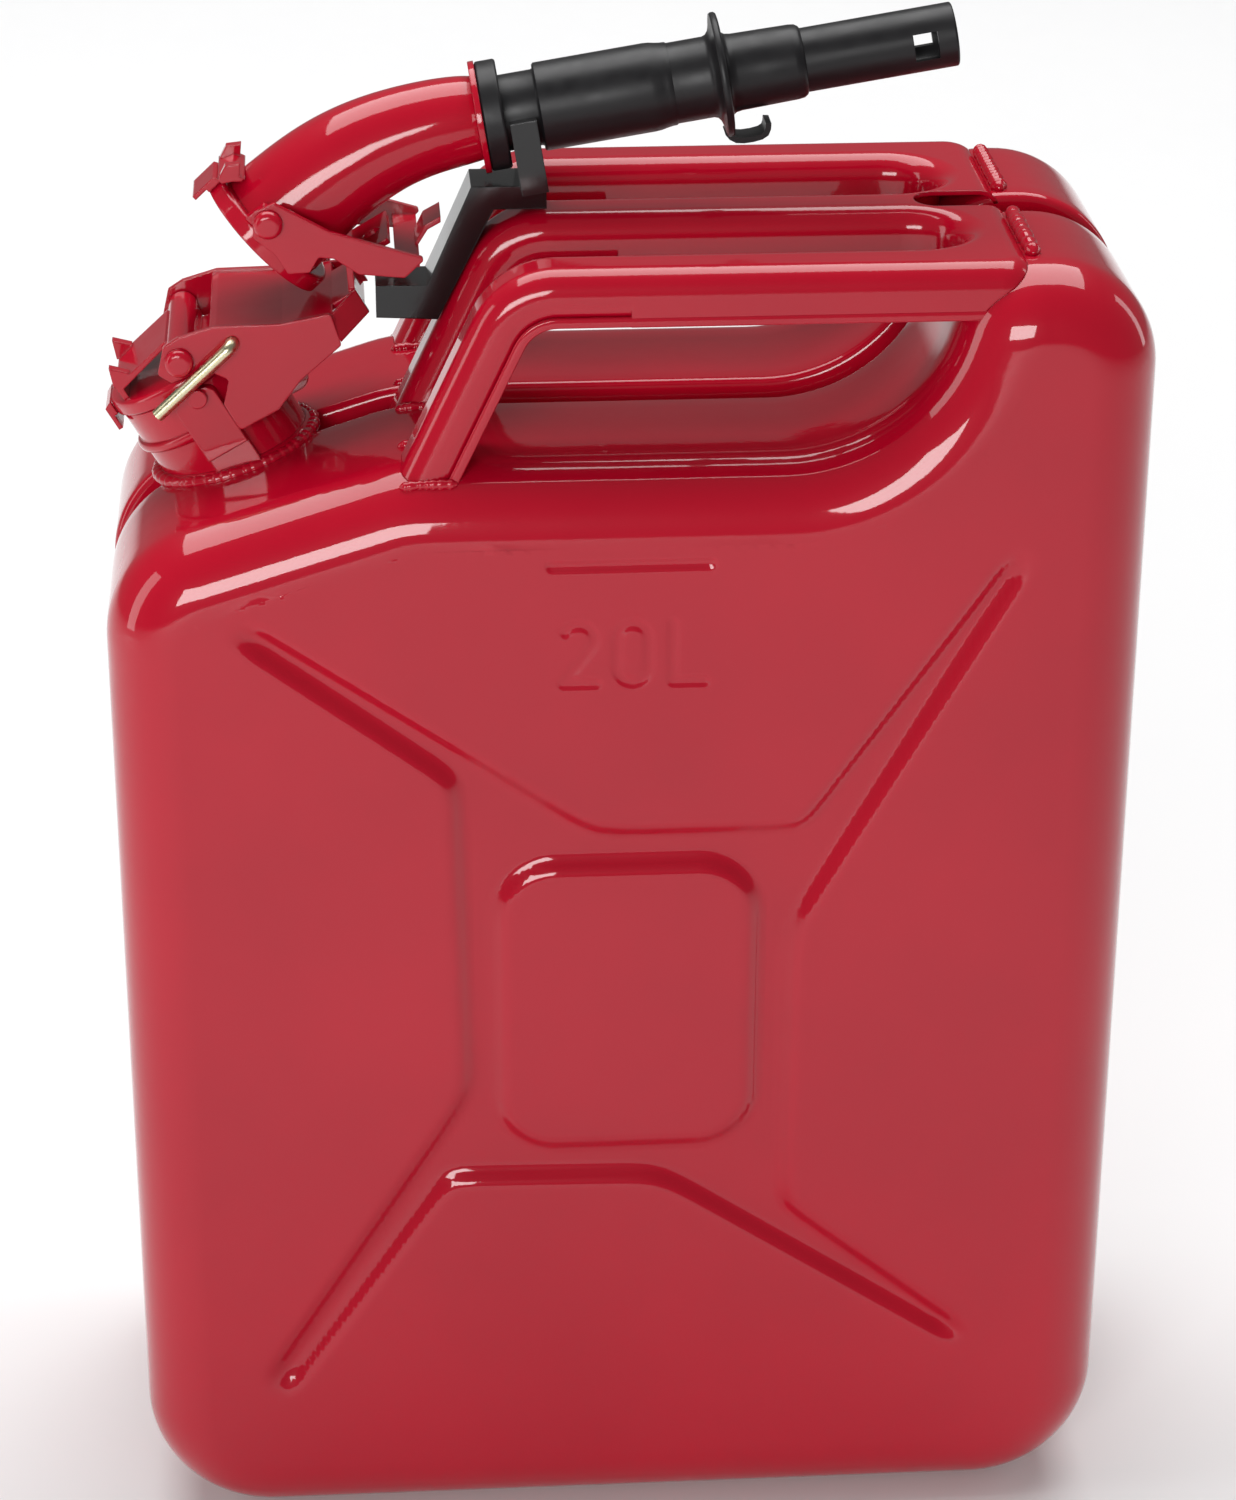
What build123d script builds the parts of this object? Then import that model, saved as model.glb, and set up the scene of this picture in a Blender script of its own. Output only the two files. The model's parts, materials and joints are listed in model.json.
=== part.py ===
"""A 20 litre steel safety gas can: welded tank, three-bar handle, tilted filler neck with a
cam-lever lid, and a pouring spout stowed over the lid in a bent holder. Millimetres.

Row frame: origin at the centre of the base, +X towards the hump end, +Y away from the near
face, +Z up. The neck leans towards -X.
"""

import os
from math import cos, radians, sin, tan

from build123d import *

os.makedirs("parts", exist_ok=True)

# ---- tank ------------------------------------------------------------------
tank_length = 345.0        # X, wall to wall
tank_width = 165.0         # Y, face to face
hump_top = 468.0           # Z, top of the hump that the handle plate lies on
saddle_height = 404.0      # Z, floor of the hand space under the bars
sheet = 1.0                # tank steel
base_corner_r = 45.0
shoulder_r = 40.0
hump_outer_r = 36.0
hump_inner_r = 28.0
saddle_r = 55.0
saddle_blend_r = 60.0
shoulder_pitch = 17.5      # degrees, rise of the shoulder towards the saddle
shoulder_height = 373.0    # Z where the shoulder line would meet the neck-side wall
hump_face_pitch = 71.5     # degrees, steepest part of the hump's inner face
hump_face_x = 91.0         # X where that face would meet the saddle floor
face_edge_r = 24.0         # rounding between a face and the walls
groove_width = 16.0        # recessed band round the middle, where the halves meet
groove_depth = 9.0
groove_lip_r = 3.0
seam_width = 5.0
seam_height = 1.5

# ---- cross pressing on each face ---------------------------------------------
press_depth = 4.0
press_corner_r = 10.0
star = [
    (-124, 346), (-9, 278), (54, 278), (126, 370), (59, 240), (59, 124),
    (114, 70), (7, 138), (-66, 138), (-120, 60), (-60, 175), (-60, 295),
]
square_centre = (-1.0, 209.5)
square_size = (88.0, 109.0)
square_r = 22.0

# ---- handle --------------------------------------------------------------------
handle_steel = 1.5
handle_top = hump_top + handle_steel
bar_pitch = 60.0           # between bar centres
bar_width = 25.0
bar_depth = 18.0
bar_edge_r = 8.0
bar_rib = 2.0              # rib round the channel where the bars meet the plate
bar_bend_x = -42.4         # where the bar's top line would meet the leg's outer line
bar_bend_r = 30.0
leg_pitch = 64.5           # degrees below the horizontal
leg_length = 84.0
handle_end_x = 131.0
finger_slot_end_x = 112.0
notch_start_x = 100.0
notch_width = 16.0
plate_corner_r = 12.0
bead_r = 2.0
bead_end_y = 58.0

# ---- neck, lid and lever: u, a are measured along and across the neck's tilt -------
neck_tilt = 30.0
neck_u = 82.0
neck_r = 25.5
neck_wall = 1.5
neck_rim = 431.5
base_ring_height = 3.0
ear_y_inner = 21.0
ear_low = 397.0
ear_high = neck_rim - 0.1
ear_corner_r = 4.0
boss_height = 2.7
lug_steel = 2.5
hook_gap = 0.2
hook_steel = 1.5
hook_half = 9.0
head_height = 3.0
tab_front_u = 62.0
tab_plate_half = 16.0
tab_ear_width = 4.0
web_end_points = [(137.5, 428.8), (137.5, 430.8), (146.5, 430.8), (146.5, 428.8)]
tail_points = [
    (145, 430), (150, 440.2), (166, 440.2), (166, 438.2), (151.4, 438.2), (146.5, 428.2),
    (146.5, 422), (144.5, 422), (144.5, 430),
]
vent_route = [(-127.4, 420.7), (-107.5, 386.2), (-92, 372), (90, 372), (134, 448)]
vent_r = 4.0
vent_wall = 1.0
vent_bend_r = 18.0
neck_root = 372.0
neck_bead = 418.0
neck_bead_r = 1.8
base_ring_r = 27.5
base_ring_root = 8.0       # how far its stock runs down before the shoulder trims it
ear_u = 84.5
ear_width = 15.0
ear_steel = 2.0
ear_step = 408.0
ear_offset = 2.0
boss = (86.0, 429.5)
boss_r = 3.2
hinge = (113.0, 413.0)
hinge_pin_r = 2.2
hinge_lug_r = 5.0
lug_root = 4.0             # how far a lug's stock runs into the neck
lug_root_half = 4.5
hinge_pin_end = 1.2        # how far the pin stands out of each lug
knuckle_half = 6.0
arm_back = 2.8
arm_front = 4.6
lid_u = 83.0
lid_r = 28.0
lid_skirt = 5.0
lid_steel = 1.5
seal_gap = 0.4             # lid seal to neck rim
seal_ring = (20.5, 26.0)
pivot = (87.8, 443.5)
pivot_pin_r = 2.4
pivot_head_r = 4.8
barrel_r = 5.0
barrel_end_gap = 1.0       # extra room at each end of the lid's barrel
cheek_y = 28.6             # inner face of the lever's cheeks
cheek = 2.0
clear = 0.3                # between bodies that move past each other
running = 0.08             # radial clearance of a pin in a moving eye
cheek_line = [
    (79.5, 443.5), (86, 450.5), (92, 450.8), (104, 448), (123, 437.6), (139, 432),
    (136.5, 421), (118.6, 417.5), (107, 412.6), (92.4, 412.9), (92.6, 423.6),
    (98.6, 430), (95.5, 434.5), (89.5, 437.5), (82, 438.5),
]
lever_web = [(101.5, 448.1), (104, 448), (123, 437.6), (139, 432)]
web_inset = 1.2
tail = [(139, 430), (143.6, 421.5), (148, 435), (150.4, 440.2), (166, 440.2)]
tab_half = 15.0
tab_hole_r = 3.2
lock_pin_r = 2.25
lock_hole = (106.2, 440.2)
lock_tip = (72.4, 432.4)
lock_leg_y = -33.6
lock_bend_r = 3.0
lock_far_y = 36.0

# ---- spout -------------------------------------------------------------------
plate_centre = (-117.8, 461.4)     # centre of the clamp plate's sealing side, in X and Z
plate_pitch = 46.8                 # degrees, how far the clamp plate tips down
spout_lean = 9.3                   # degrees, rise of the nozzle towards its tip
nozzle_start = (-36.0, 501.5)      # X, Z on the nozzle's axis where s is 0
elbow_r = 98.0
elbow_wall = 1.3
elbow_radii = (20.5, 19.5, 18.0, 16.2, 14.8, 13.8)
spout_pivot = (-7.0, 10.3)         # across the clamp plate and above it
spout_cheek_y = 25.6
clamp_r = 25.0
clamp_skirt = 6.0
spout_seal_bore = 18.0
spout_seal_proud = 0.5
spout_ear_steel = 3.4
spout_tab_half = 13.0
spout_horn_width = 3.5
spout_thumb_half = 8.0
spout_cheek_line = [
    (-120, 477.5), (-113, 480.5), (-95, 470.5), (-75.6, 464.4), (-64, 461), (-71, 454.5),
    (-86, 456), (-94, 461.5), (-99, 462), (-102, 457), (-109, 456.5), (-113, 463), (-120, 469),
]
spout_web_points = [(-74, 457.5), (-74, 459.5), (-66, 459.5), (-66, 457.5)]
spout_thumb_points = [(-67, 458), (-67, 460), (-64, 466), (-58.5, 469), (-58.5, 467), (-62.8, 464.6)]
flange_s = -10.0
flange_r = 18.5
flange_thick = 2.0
collar_thick = 7.0
collar_r = 18.0
oring_wire = 2.5           # square section of the collar's seal
oring_room = 0.05          # its groove's clearance each way
spigot_r = 12.5
housing_s = (10.5, 55.0)
housing_r = 14.5
housing_bore_r = 13.35
spring_room_s = 22.0
barrel_s = (-8.0, 149.5)
tip_r = 10.5
tip_bore_r = 8.5
sleeve_s = (49.0, 99.0)
sleeve_r = 13.25
stop_s = 70.0
stop_r = 20.5
stop_thick = 3.0
sleeve_front_r = 12.25
sleeve_travel = 12.0
window_s = (134.8, 142.9)
window_width = 9.0
cross_pin_s = 88.0
cross_pin_r = 2.0
cross_pin_sink = 0.4       # its ends lie below the sleeve's surface
seat_s = 64.8
seat_bore = 5.5
seat_thick = 2.5
seal_thick = 1.0
poppet_thick = 3.5
stem_r = 3.5
poppet_r = 7.6
hook_width = 10.0
spring_wire_r = 0.6
spring_turns = 7
spring_end_gap = 0.1

# ---- holder --------------------------------------------------------------------
holder_half = 10.0
holder_steel = 2.0
holder_line = [
    (-80.5, 446), (-80.5, 435), (-60, 434), (-41, 471.6), (-23.5, 471.6), (-23.5, 479.5),
    (-48.4, 479.5), (-63.4, 446),
]
fork_half = 16.5
fork_s = (0.3, 9.2)
fork_depth = 24.0

half_length = tank_length / 2
half_width = tank_width / 2
lean_x, lean_z = cos(radians(neck_tilt)), sin(radians(neck_tilt))
pitch = tan(radians(shoulder_pitch))
NEAR, FAR = -1, 1


def hook_points(u, low, high):
    """Side outline of the lip that hangs in front of a cap's rim."""
    return [
        (u + 1, high), (u - hook_gap - hook_steel, high - 1.5), (u - hook_gap - hook_steel, low - 5),
        (u - hook_gap, low - 5), (u - hook_gap, low), (u + 1, low),
    ]


def side_plane(y):
    """Upright plane at y, seen from the near side: sketch X, Y are the row's X, Z."""
    return Plane(origin=(0, y, 0), x_dir=(1, 0, 0), z_dir=(0, -1, 0))


def neck_side(y):
    """The same plane turned by the neck's tilt: sketch X, Y are u and a."""
    return Plane(origin=(0, y, 0), x_dir=(lean_x, 0, lean_z), z_dir=(0, -1, 0))


def neck_top(u, a):
    """Plane square to the neck's axis, with its origin at u, a."""
    at = (u * lean_x - a * lean_z, 0, u * lean_z + a * lean_x)
    return Plane(origin=at, x_dir=(lean_x, 0, lean_z), z_dir=(-lean_z, 0, lean_x))


def save(part, name):
    """Label a finished piece and write its own file."""
    part.label = name
    export_step(part, f"parts/{name}.step")


# ---- tank forms ----------------------------------------------------------------
saddle_start_x = -half_length + (saddle_height - shoulder_height) / pitch
hump_face_top_x = hump_face_x + (hump_top - saddle_height) / tan(radians(hump_face_pitch))
outline_points = [
    (-half_length, 0), (-half_length, shoulder_height), (saddle_start_x, saddle_height),
    (hump_face_x, saddle_height), (hump_face_top_x, hump_top), (half_length, hump_top),
    (half_length, 0),
]
outline_radii = [
    base_corner_r, shoulder_r, saddle_blend_r, saddle_r, hump_inner_r, hump_outer_r,
    base_corner_r,
]


def outline(inset, y):
    """The can's side outline as a face at y, drawn in by inset."""
    with BuildSketch(side_plane(y)) as face:
        with BuildLine():
            FilletPolyline(*outline_points, radius=outline_radii, close=True)
        make_face()
        if inset:
            offset(amount=-inset, kind=Kind.INTERSECTION)
    return face.sketch


def press_form(inset):
    """What the cross pressing takes out of the near face of a form drawn in by inset."""
    face_y = -half_width + inset
    with BuildPart() as press:
        with BuildSketch(side_plane(face_y)):
            with BuildLine():
                Polyline(*star, close=True)
            make_face()
            offset(amount=inset, kind=Kind.INTERSECTION)
        extrude(amount=-press_depth)
        with BuildSketch(side_plane(face_y + press_depth)):
            with Locations(square_centre):
                RectangleRounded(*[size - 2 * inset for size in square_size], square_r - inset)
        extrude(amount=press_depth, mode=Mode.SUBTRACT)
    return press.part


def half_form(inset):
    """Solid of the near half, from its face to the middle plane, drawn in by inset."""
    face_y = -half_width + inset
    wall_y = -groove_width / 2 - inset
    with BuildPart() as form:
        add(extrude(outline(inset, wall_y), amount=wall_y - face_y))
        fillet(form.faces().sort_by(Axis.Y)[0].edges(), face_edge_r - inset)
        fillet(form.faces().sort_by(Axis.Y)[-1].edges(), groove_lip_r - 0.5 * inset)
        add(extrude(outline(groove_depth + inset, 0), amount=-wall_y + 1))
        add(press_form(inset), mode=Mode.SUBTRACT)
    return form.part


near_form = half_form(0)
far_form = near_form.mirror(Plane.XZ)
tank_form = near_form + far_form


def neck_cylinder(radius, low, high, u=neck_u):
    """Solid cylinder along the neck's tilt, from height a = low to a = high."""
    with BuildPart() as cylinder:
        with BuildSketch(neck_top(u, low)):
            Circle(radius)
        extrude(amount=high - low)
    return cylinder.part


neck_bore = neck_cylinder(neck_r - neck_wall, neck_root, neck_rim + 1)
shell = near_form - half_form(sheet)

with BuildPart() as tank_half_near:
    add(shell)
    add(neck_bore, mode=Mode.SUBTRACT)
save(tank_half_near.part, "tank_half_near")

with BuildPart() as tank_half_far:
    add(shell.mirror(Plane.XZ))
    add(neck_bore, mode=Mode.SUBTRACT)
save(tank_half_far.part, "tank_half_far")

with BuildPart() as seam_weld:
    add(extrude(outline(groove_depth - seam_height, seam_width / 2), amount=seam_width))
    add(extrude(outline(groove_depth, seam_width / 2 + 1), amount=seam_width + 2), mode=Mode.SUBTRACT)
    add(neck_cylinder(neck_r, neck_root, neck_rim), mode=Mode.SUBTRACT)
save(seam_weld.part, "seam_weld")


# ---- handle --------------------------------------------------------------------
hood_half = bar_pitch + bar_width / 2
hood_start_x = 0.0
slot_r = (bar_pitch - bar_width) / 2
slot_x = finger_slot_end_x - slot_r
leg_foot = (
    bar_bend_x - leg_length * cos(radians(leg_pitch)),
    handle_top - leg_length * sin(radians(leg_pitch)),
)


def bar_form(y, inset):
    """One bar and its leg as a solid drawn in by inset, swept along the bar's top line."""
    start = (hood_start_x, handle_top)
    depth = bar_depth + (1 if inset else 0)
    with BuildPart() as bar:
        with BuildLine(side_plane(y)):
            FilletPolyline(start, (bar_bend_x, handle_top), leg_foot, radius=bar_bend_r)
        with BuildSketch(Plane(origin=(hood_start_x, y, handle_top), x_dir=(0, 1, 0),
                               z_dir=(-1, 0, 0))) as section:
            with Locations((0, depth / 2 + inset / 2)):
                Rectangle(bar_width - 2 * inset, depth - inset)
            fillet(section.vertices().group_by(Axis.Z)[-1], bar_edge_r - inset)
        sweep()
    return bar.part


def hood_form(inset):
    """The bars' straight run and the rear plate as one solid drawn in by inset."""
    with BuildPart() as hood:
        with BuildSketch(Plane.XY.offset(handle_top - inset)):
            with Locations(((hood_start_x + handle_end_x) / 2, 0)):
                RectangleRounded(handle_end_x - hood_start_x, 2 * hood_half, plate_corner_r)
            with Locations((hood_start_x + plate_corner_r, 0)):
                Rectangle(2 * plate_corner_r, 2 * hood_half)
            with Locations(*[(slot_x, side * bar_pitch / 2) for side in (NEAR, FAR)]):
                Circle(slot_r, mode=Mode.SUBTRACT)
                with Locations((-slot_x / 2, 0)):
                    Rectangle(slot_x, 2 * slot_r, mode=Mode.SUBTRACT)
            if inset:
                offset(amount=-inset)
        extrude(amount=-bar_depth - (1 - inset if inset else 0))
        top = hood.faces().sort_by(Axis.Z)[-1]
        rim = top.edges().filter_by(lambda edge: edge.center().X > hood_start_x + inset + 0.5)
        fillet(rim, bar_edge_r - inset)
    return hood.part


def handle_form(inset):
    """Solid of the whole pressing drawn in by inset."""
    bars = [bar_form(y, inset) for y in (-bar_pitch, 0, bar_pitch)]
    return hood_form(inset) + bars


with BuildPart() as handle_pressing:
    add(handle_form(0))
    add(handle_form(handle_steel), mode=Mode.SUBTRACT)
    add(tank_form, mode=Mode.SUBTRACT)
    add(seam_weld.part, mode=Mode.SUBTRACT)
    with BuildSketch(Plane.XY.offset(handle_top)):
        with Locations((notch_start_x + notch_width / 2, 0)):
            Circle(notch_width / 2)
            with Locations((handle_end_x / 2, 0)):
                Rectangle(handle_end_x, notch_width)
    extrude(amount=-bar_depth, mode=Mode.SUBTRACT)
    with BuildSketch(Plane.XY.offset(handle_top - handle_steel - bar_rib)):
        with Locations(*[(hood_start_x + handle_steel / 2, y) for y in (-bar_pitch, 0, bar_pitch)]):
            Rectangle(2 * handle_steel, bar_width - 2 * (handle_steel + 2 * bar_rib))
    extrude(amount=-bar_depth, mode=Mode.SUBTRACT)
save(handle_pressing.part, "handle_pressing")


def bead_at(y_low, y_high):
    """Weld bead along the plate's rear edge, lying on the hump."""
    with BuildPart() as bead:
        with BuildSketch(Plane(origin=(handle_end_x - 1, y_low, hump_top), x_dir=(1, 0, 0),
                               z_dir=(0, 1, 0))):
            Circle(bead_r)
        extrude(amount=y_high - y_low)
        add(tank_form, mode=Mode.SUBTRACT)
        add(handle_pressing.part, mode=Mode.SUBTRACT)
    return bead.part


bead_near = bead_at(-bead_end_y, -groove_width / 2 - groove_lip_r)
save(Part(children=[bead_near, bead_near.mirror(Plane.XZ)]), "handle_beads")


# ---- neck ----------------------------------------------------------------------
def neck_slab(points, y_low, y_high):
    """Plate with its outline drawn in u and a, between two depths."""
    with BuildPart() as slab:
        with BuildSketch(neck_side(y_high)):
            with BuildLine():
                Polyline(*points, close=True)
            make_face()
        extrude(amount=y_high - y_low)
    return slab.part


def neck_rod(place, radius, y_low, y_high):
    """Round rod across the can at a place given in u and a."""
    with BuildPart() as rod:
        with BuildSketch(neck_side(y_high)):
            with Locations(place):
                Circle(radius)
        extrude(amount=y_high - y_low)
    return rod.part


def mirrored(near):
    """A piece and its twin on the far side, as one group of separate solids."""
    return Part(children=[near, near.mirror(Plane.XZ)])


bead_half = neck_bead_r
with BuildPart() as neck_tube:
    add(neck_cylinder(neck_r, neck_root, neck_rim))
    fillet(neck_tube.edges().filter_by(GeomType.CIRCLE).sort_by(Axis.Z)[-1], 0.6)
    with BuildSketch(neck_top(neck_u, neck_bead - bead_half)):
        Circle(neck_r + neck_bead_r)
    rolled = extrude(amount=2 * bead_half)
    fillet(rolled.edges().filter_by(GeomType.CIRCLE), 0.85 * bead_half)
    add(neck_bore, mode=Mode.SUBTRACT)
    add(tank_form, mode=Mode.SUBTRACT)
save(neck_tube.part, "neck_tube")

neck_solid = neck_cylinder(neck_r, neck_root, neck_rim) + neck_cylinder(
    neck_r + neck_bead_r, neck_bead - bead_half, neck_bead + bead_half)
ring_a = (shoulder_height + pitch * (half_length + neck_u * lean_x) - neck_u * lean_z) / (
    lean_x + pitch * lean_z)
ring_x = neck_u * lean_x - ring_a * lean_z
ring_z = neck_u * lean_z + ring_a * lean_x
shoulder_plane = Plane(
    origin=(ring_x, 0, ring_z),
    x_dir=(cos(radians(shoulder_pitch)), 0, sin(radians(shoulder_pitch))),
    z_dir=(-sin(radians(shoulder_pitch)), 0, cos(radians(shoulder_pitch))),
)
with BuildPart() as neck_base_ring:
    with BuildSketch(shoulder_plane.offset(base_ring_height)):
        Circle(base_ring_r)
    extrude(amount=-base_ring_height - base_ring_root)
    fillet(neck_base_ring.faces().sort_by(Axis.Z)[-1].edges(), 0.8 * base_ring_height)
    add(neck_solid, mode=Mode.SUBTRACT)
    add(neck_bore, mode=Mode.SUBTRACT)
    add(tank_form, mode=Mode.SUBTRACT)
    add(seam_weld.part, mode=Mode.SUBTRACT)
save(neck_base_ring.part, "neck_base_ring")

ear_outer = cheek_y - clear
with BuildPart() as ear:
    with BuildSketch(neck_side(-ear_y_inner)):
        with Locations((ear_u, (ear_low + ear_high) / 2)):
            RectangleRounded(ear_width, ear_high - ear_low, ear_corner_r)
    extrude(amount=ear_outer - ear_y_inner)
    with BuildSketch(neck_side(-ear_outer + ear_offset)):
        with Locations((ear_u, ear_step - 10)):
            Rectangle(ear_width + 4, 20)
    extrude(amount=ear_offset + 1, mode=Mode.SUBTRACT)
    with BuildSketch(neck_side(-ear_outer)):
        with Locations(boss):
            Circle(boss_r)
    extrude(amount=boss_height)
    add(neck_solid, mode=Mode.SUBTRACT)
    add(neck_base_ring.part, mode=Mode.SUBTRACT)
    add(tank_form, mode=Mode.SUBTRACT)
save(mirrored(ear.part), "catch_ears")

lug_points = [
    (neck_u + neck_r - lug_root, hinge[1] - lug_root_half), (hinge[0], hinge[1] - hinge_lug_r),
    (hinge[0], hinge[1] + hinge_lug_r), (neck_u + neck_r - lug_root, hinge[1] + lug_root_half),
]
lug_low = knuckle_half + clear
with BuildPart() as lug:
    add(neck_slab(lug_points, -lug_low - lug_steel, -lug_low))
    add(neck_rod(hinge, hinge_lug_r, -lug_low - lug_steel, -lug_low))
    add(neck_rod(hinge, hinge_pin_r, -lug_low - lug_steel, -lug_low), mode=Mode.SUBTRACT)
    add(neck_solid, mode=Mode.SUBTRACT)
save(mirrored(lug.part), "hinge_lugs")

pin_half = lug_low + lug_steel + hinge_pin_end
save(neck_rod(hinge, hinge_pin_r, -pin_half, pin_half), "hinge_pin")

vent_points = [(x, 0, z) for x, z in vent_route]
with BuildPart() as breather_tube:
    with BuildLine():
        FilletPolyline(*vent_points, radius=vent_bend_r)
    first = Vector(*vent_points[1]) - Vector(*vent_points[0])
    with BuildSketch(Plane(origin=vent_points[0], x_dir=(0, 1, 0), z_dir=first)):
        Circle(vent_r)
        Circle(vent_r - vent_wall, mode=Mode.SUBTRACT)
    sweep()
save(breather_tube.part, "breather_tube")


# ---- lid -----------------------------------------------------------------------
cap_low = neck_rim + 1.0
cap_top = cap_low + lid_skirt
gasket_low = neck_rim + seal_gap
cap_solid = neck_cylinder(lid_r, cap_low, cap_top, lid_u)
with BuildPart() as lid_cap:
    add(cap_solid)
    fillet(lid_cap.edges().filter_by(GeomType.CIRCLE).sort_by(Axis.Z)[-1], 2.0)
    add(neck_cylinder(lid_r - lid_steel, cap_low, cap_top - lid_steel, lid_u), mode=Mode.SUBTRACT)
    add(neck_slab(hook_points(lid_u - lid_r, cap_low, cap_top), -hook_half, hook_half))
    add(neck_cylinder(lid_r - lid_steel, cap_low - 6, cap_top - lid_steel, lid_u),
        mode=Mode.SUBTRACT)
save(lid_cap.part, "lid_cap")

with BuildPart() as lid_gasket:
    with BuildSketch(neck_top(lid_u, gasket_low)):
        Circle(seal_ring[1])
        Circle(seal_ring[0], mode=Mode.SUBTRACT)
    extrude(amount=cap_top - lid_steel - gasket_low)
save(lid_gasket.part, "lid_gasket")

arm_points = [
    (hinge[0] - arm_back, hinge[1]), (hinge[0] + arm_front, hinge[1]),
    (hinge[0] + arm_front, cap_low - 2), (hinge[0] + 1.5, cap_top), (hinge[0] - arm_back, cap_top),
]
with BuildPart() as lid_hinge_arm:
    add(neck_slab(arm_points, -knuckle_half, knuckle_half))
    add(neck_rod(hinge, arm_front, -knuckle_half, knuckle_half))
    add(neck_rod(hinge, hinge_pin_r + running, -knuckle_half, knuckle_half), mode=Mode.SUBTRACT)
    add(cap_solid, mode=Mode.SUBTRACT)
save(lid_hinge_arm.part, "lid_hinge_arm")

barrel_half = cheek_y - clear - barrel_end_gap
tab_points = [
    (tab_front_u, cap_top), (tab_front_u + 2, cap_top), (tab_front_u + 2, cap_top + 3.4),
    (pivot[0] - 3, pivot[1] + 3.0), (pivot[0] - 3, pivot[1] + 4.6), (tab_front_u, cap_top + 5.4),
]
ear_points = [
    (tab_front_u - 0.6, cap_top + 5.5), (tab_front_u + 1.6, cap_top + 12),
    (tab_front_u + 6.5, cap_top + 7.2), (tab_front_u + 4, cap_top + 4.4),
]
with BuildPart() as lid_bridge:
    add(neck_rod(pivot, barrel_r, -barrel_half, barrel_half))
    add(neck_slab([(pivot[0] - 4, cap_top), (pivot[0] + 4, cap_top), (pivot[0] + 4, pivot[1]),
                   (pivot[0] - 4, pivot[1])], -barrel_half, barrel_half))
    add(neck_slab(tab_points, -tab_plate_half, tab_plate_half))
    add(neck_slab(ear_points, -tab_plate_half, tab_ear_width - tab_plate_half))
    add(neck_slab(ear_points, tab_plate_half - tab_ear_width, tab_plate_half))
    add(neck_rod(pivot, pivot_pin_r, -barrel_half, barrel_half), mode=Mode.SUBTRACT)
save(lid_bridge.part, "lid_bridge")


head_low = cheek_y + cheek + clear
with BuildPart() as lid_cross_pin:
    add(neck_rod(pivot, pivot_pin_r, -head_low, head_low))
    for low, high in ((-head_low - head_height, -head_low), (head_low, head_low + head_height)):
        add(neck_rod(pivot, pivot_head_r, low, high))
    ends = lid_cross_pin.faces().filter_by(Axis.Y).group_by(Axis.Y)
    fillet(ends[0].edges() + ends[-1].edges(), 0.8 * head_height)
save(lid_cross_pin.part, "lid_cross_pin")


# ---- lid lever -------------------------------------------------------------------
def lowered(points, drop):
    """A line of points moved down along a."""
    return [(u, a - drop) for u, a in points]


web_points = lowered(lever_web, web_inset) + lowered(lever_web, web_inset + cheek)[::-1]
with BuildPart() as near_cheek:
    add(neck_slab(cheek_line, -cheek_y - cheek, -cheek_y))
    tips = near_cheek.edges().filter_by(Axis.Y)
    fillet(tips.filter_by(lambda edge: edge.center().X < -85), 1.4)
    add(neck_rod(pivot, pivot_pin_r + running, -cheek_y - cheek, -cheek_y), mode=Mode.SUBTRACT)
    add(neck_rod(lock_hole, lock_pin_r + running, -cheek_y - cheek, -cheek_y), mode=Mode.SUBTRACT)
joggle = [
    (cheek_line[5][0] - 2, -cheek_y - cheek), (tail[2][0], -tab_half - cheek),
    (tail[2][0], -tab_half), (cheek_line[5][0] - 2, -cheek_y),
]
with BuildPart() as near_joggle:
    with BuildSketch(neck_top(0, cheek_line[6][1] + 1)):
        with BuildLine():
            Polyline(*joggle, close=True)
        make_face()
    extrude(amount=cheek_line[5][1] - cheek_line[6][1] - 2)
sides = near_cheek.part + near_joggle.part
with BuildPart() as lid_lever:
    add(sides)
    add(sides.mirror(Plane.XZ))
    add(neck_slab(web_points, -cheek_y, cheek_y))
    add(neck_slab(web_end_points, -tab_half - cheek, tab_half + cheek))
    add(neck_slab(tail_points, -tab_half, tab_half))
    with BuildSketch(neck_top(tail[4][0] - 6, tail[4][1] - 4)):
        Circle(tab_hole_r)
    extrude(amount=8, mode=Mode.SUBTRACT)
save(lid_lever.part, "lid_lever")

lock_points = [
    neck_side(0).from_local_coords((*lock_hole, 0)), neck_side(0).from_local_coords((*lock_tip, 0)),
]
lock_path = [
    (lock_points[0].X, lock_far_y, lock_points[0].Z),
    (lock_points[0].X, lock_leg_y, lock_points[0].Z),
    (lock_points[1].X, lock_leg_y, lock_points[1].Z),
]
with BuildPart() as lock_pin:
    with BuildLine():
        FilletPolyline(*lock_path, radius=lock_bend_r)
    with BuildSketch(Plane(origin=lock_path[0], z_dir=(0, -1, 0))):
        Circle(lock_pin_r)
    sweep()
save(lock_pin.part, "lock_pin")


# ---- spout -----------------------------------------------------------------------
tip_x, tip_z = cos(radians(plate_pitch)), sin(radians(plate_pitch))
lean = radians(spout_lean)
clamp_plane = Plane(origin=(plate_centre[0], 0, plate_centre[1]), x_dir=(tip_x, 0, -tip_z),
                    z_dir=(tip_z, 0, tip_x))


def clamp_side(y):
    """Upright plane turned with the clamp plate: sketch X runs down it, Y stands off it."""
    return Plane(origin=(plate_centre[0], y, plate_centre[1]), x_dir=(tip_x, 0, -tip_z),
                 z_dir=(0, -1, 0))


def nozzle_side(y):
    """Upright plane along the nozzle: sketch X is s, Y is up from its axis."""
    return Plane(origin=(nozzle_start[0], y, nozzle_start[1]), x_dir=(cos(lean), 0, sin(lean)),
                 z_dir=(0, -1, 0))


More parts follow.
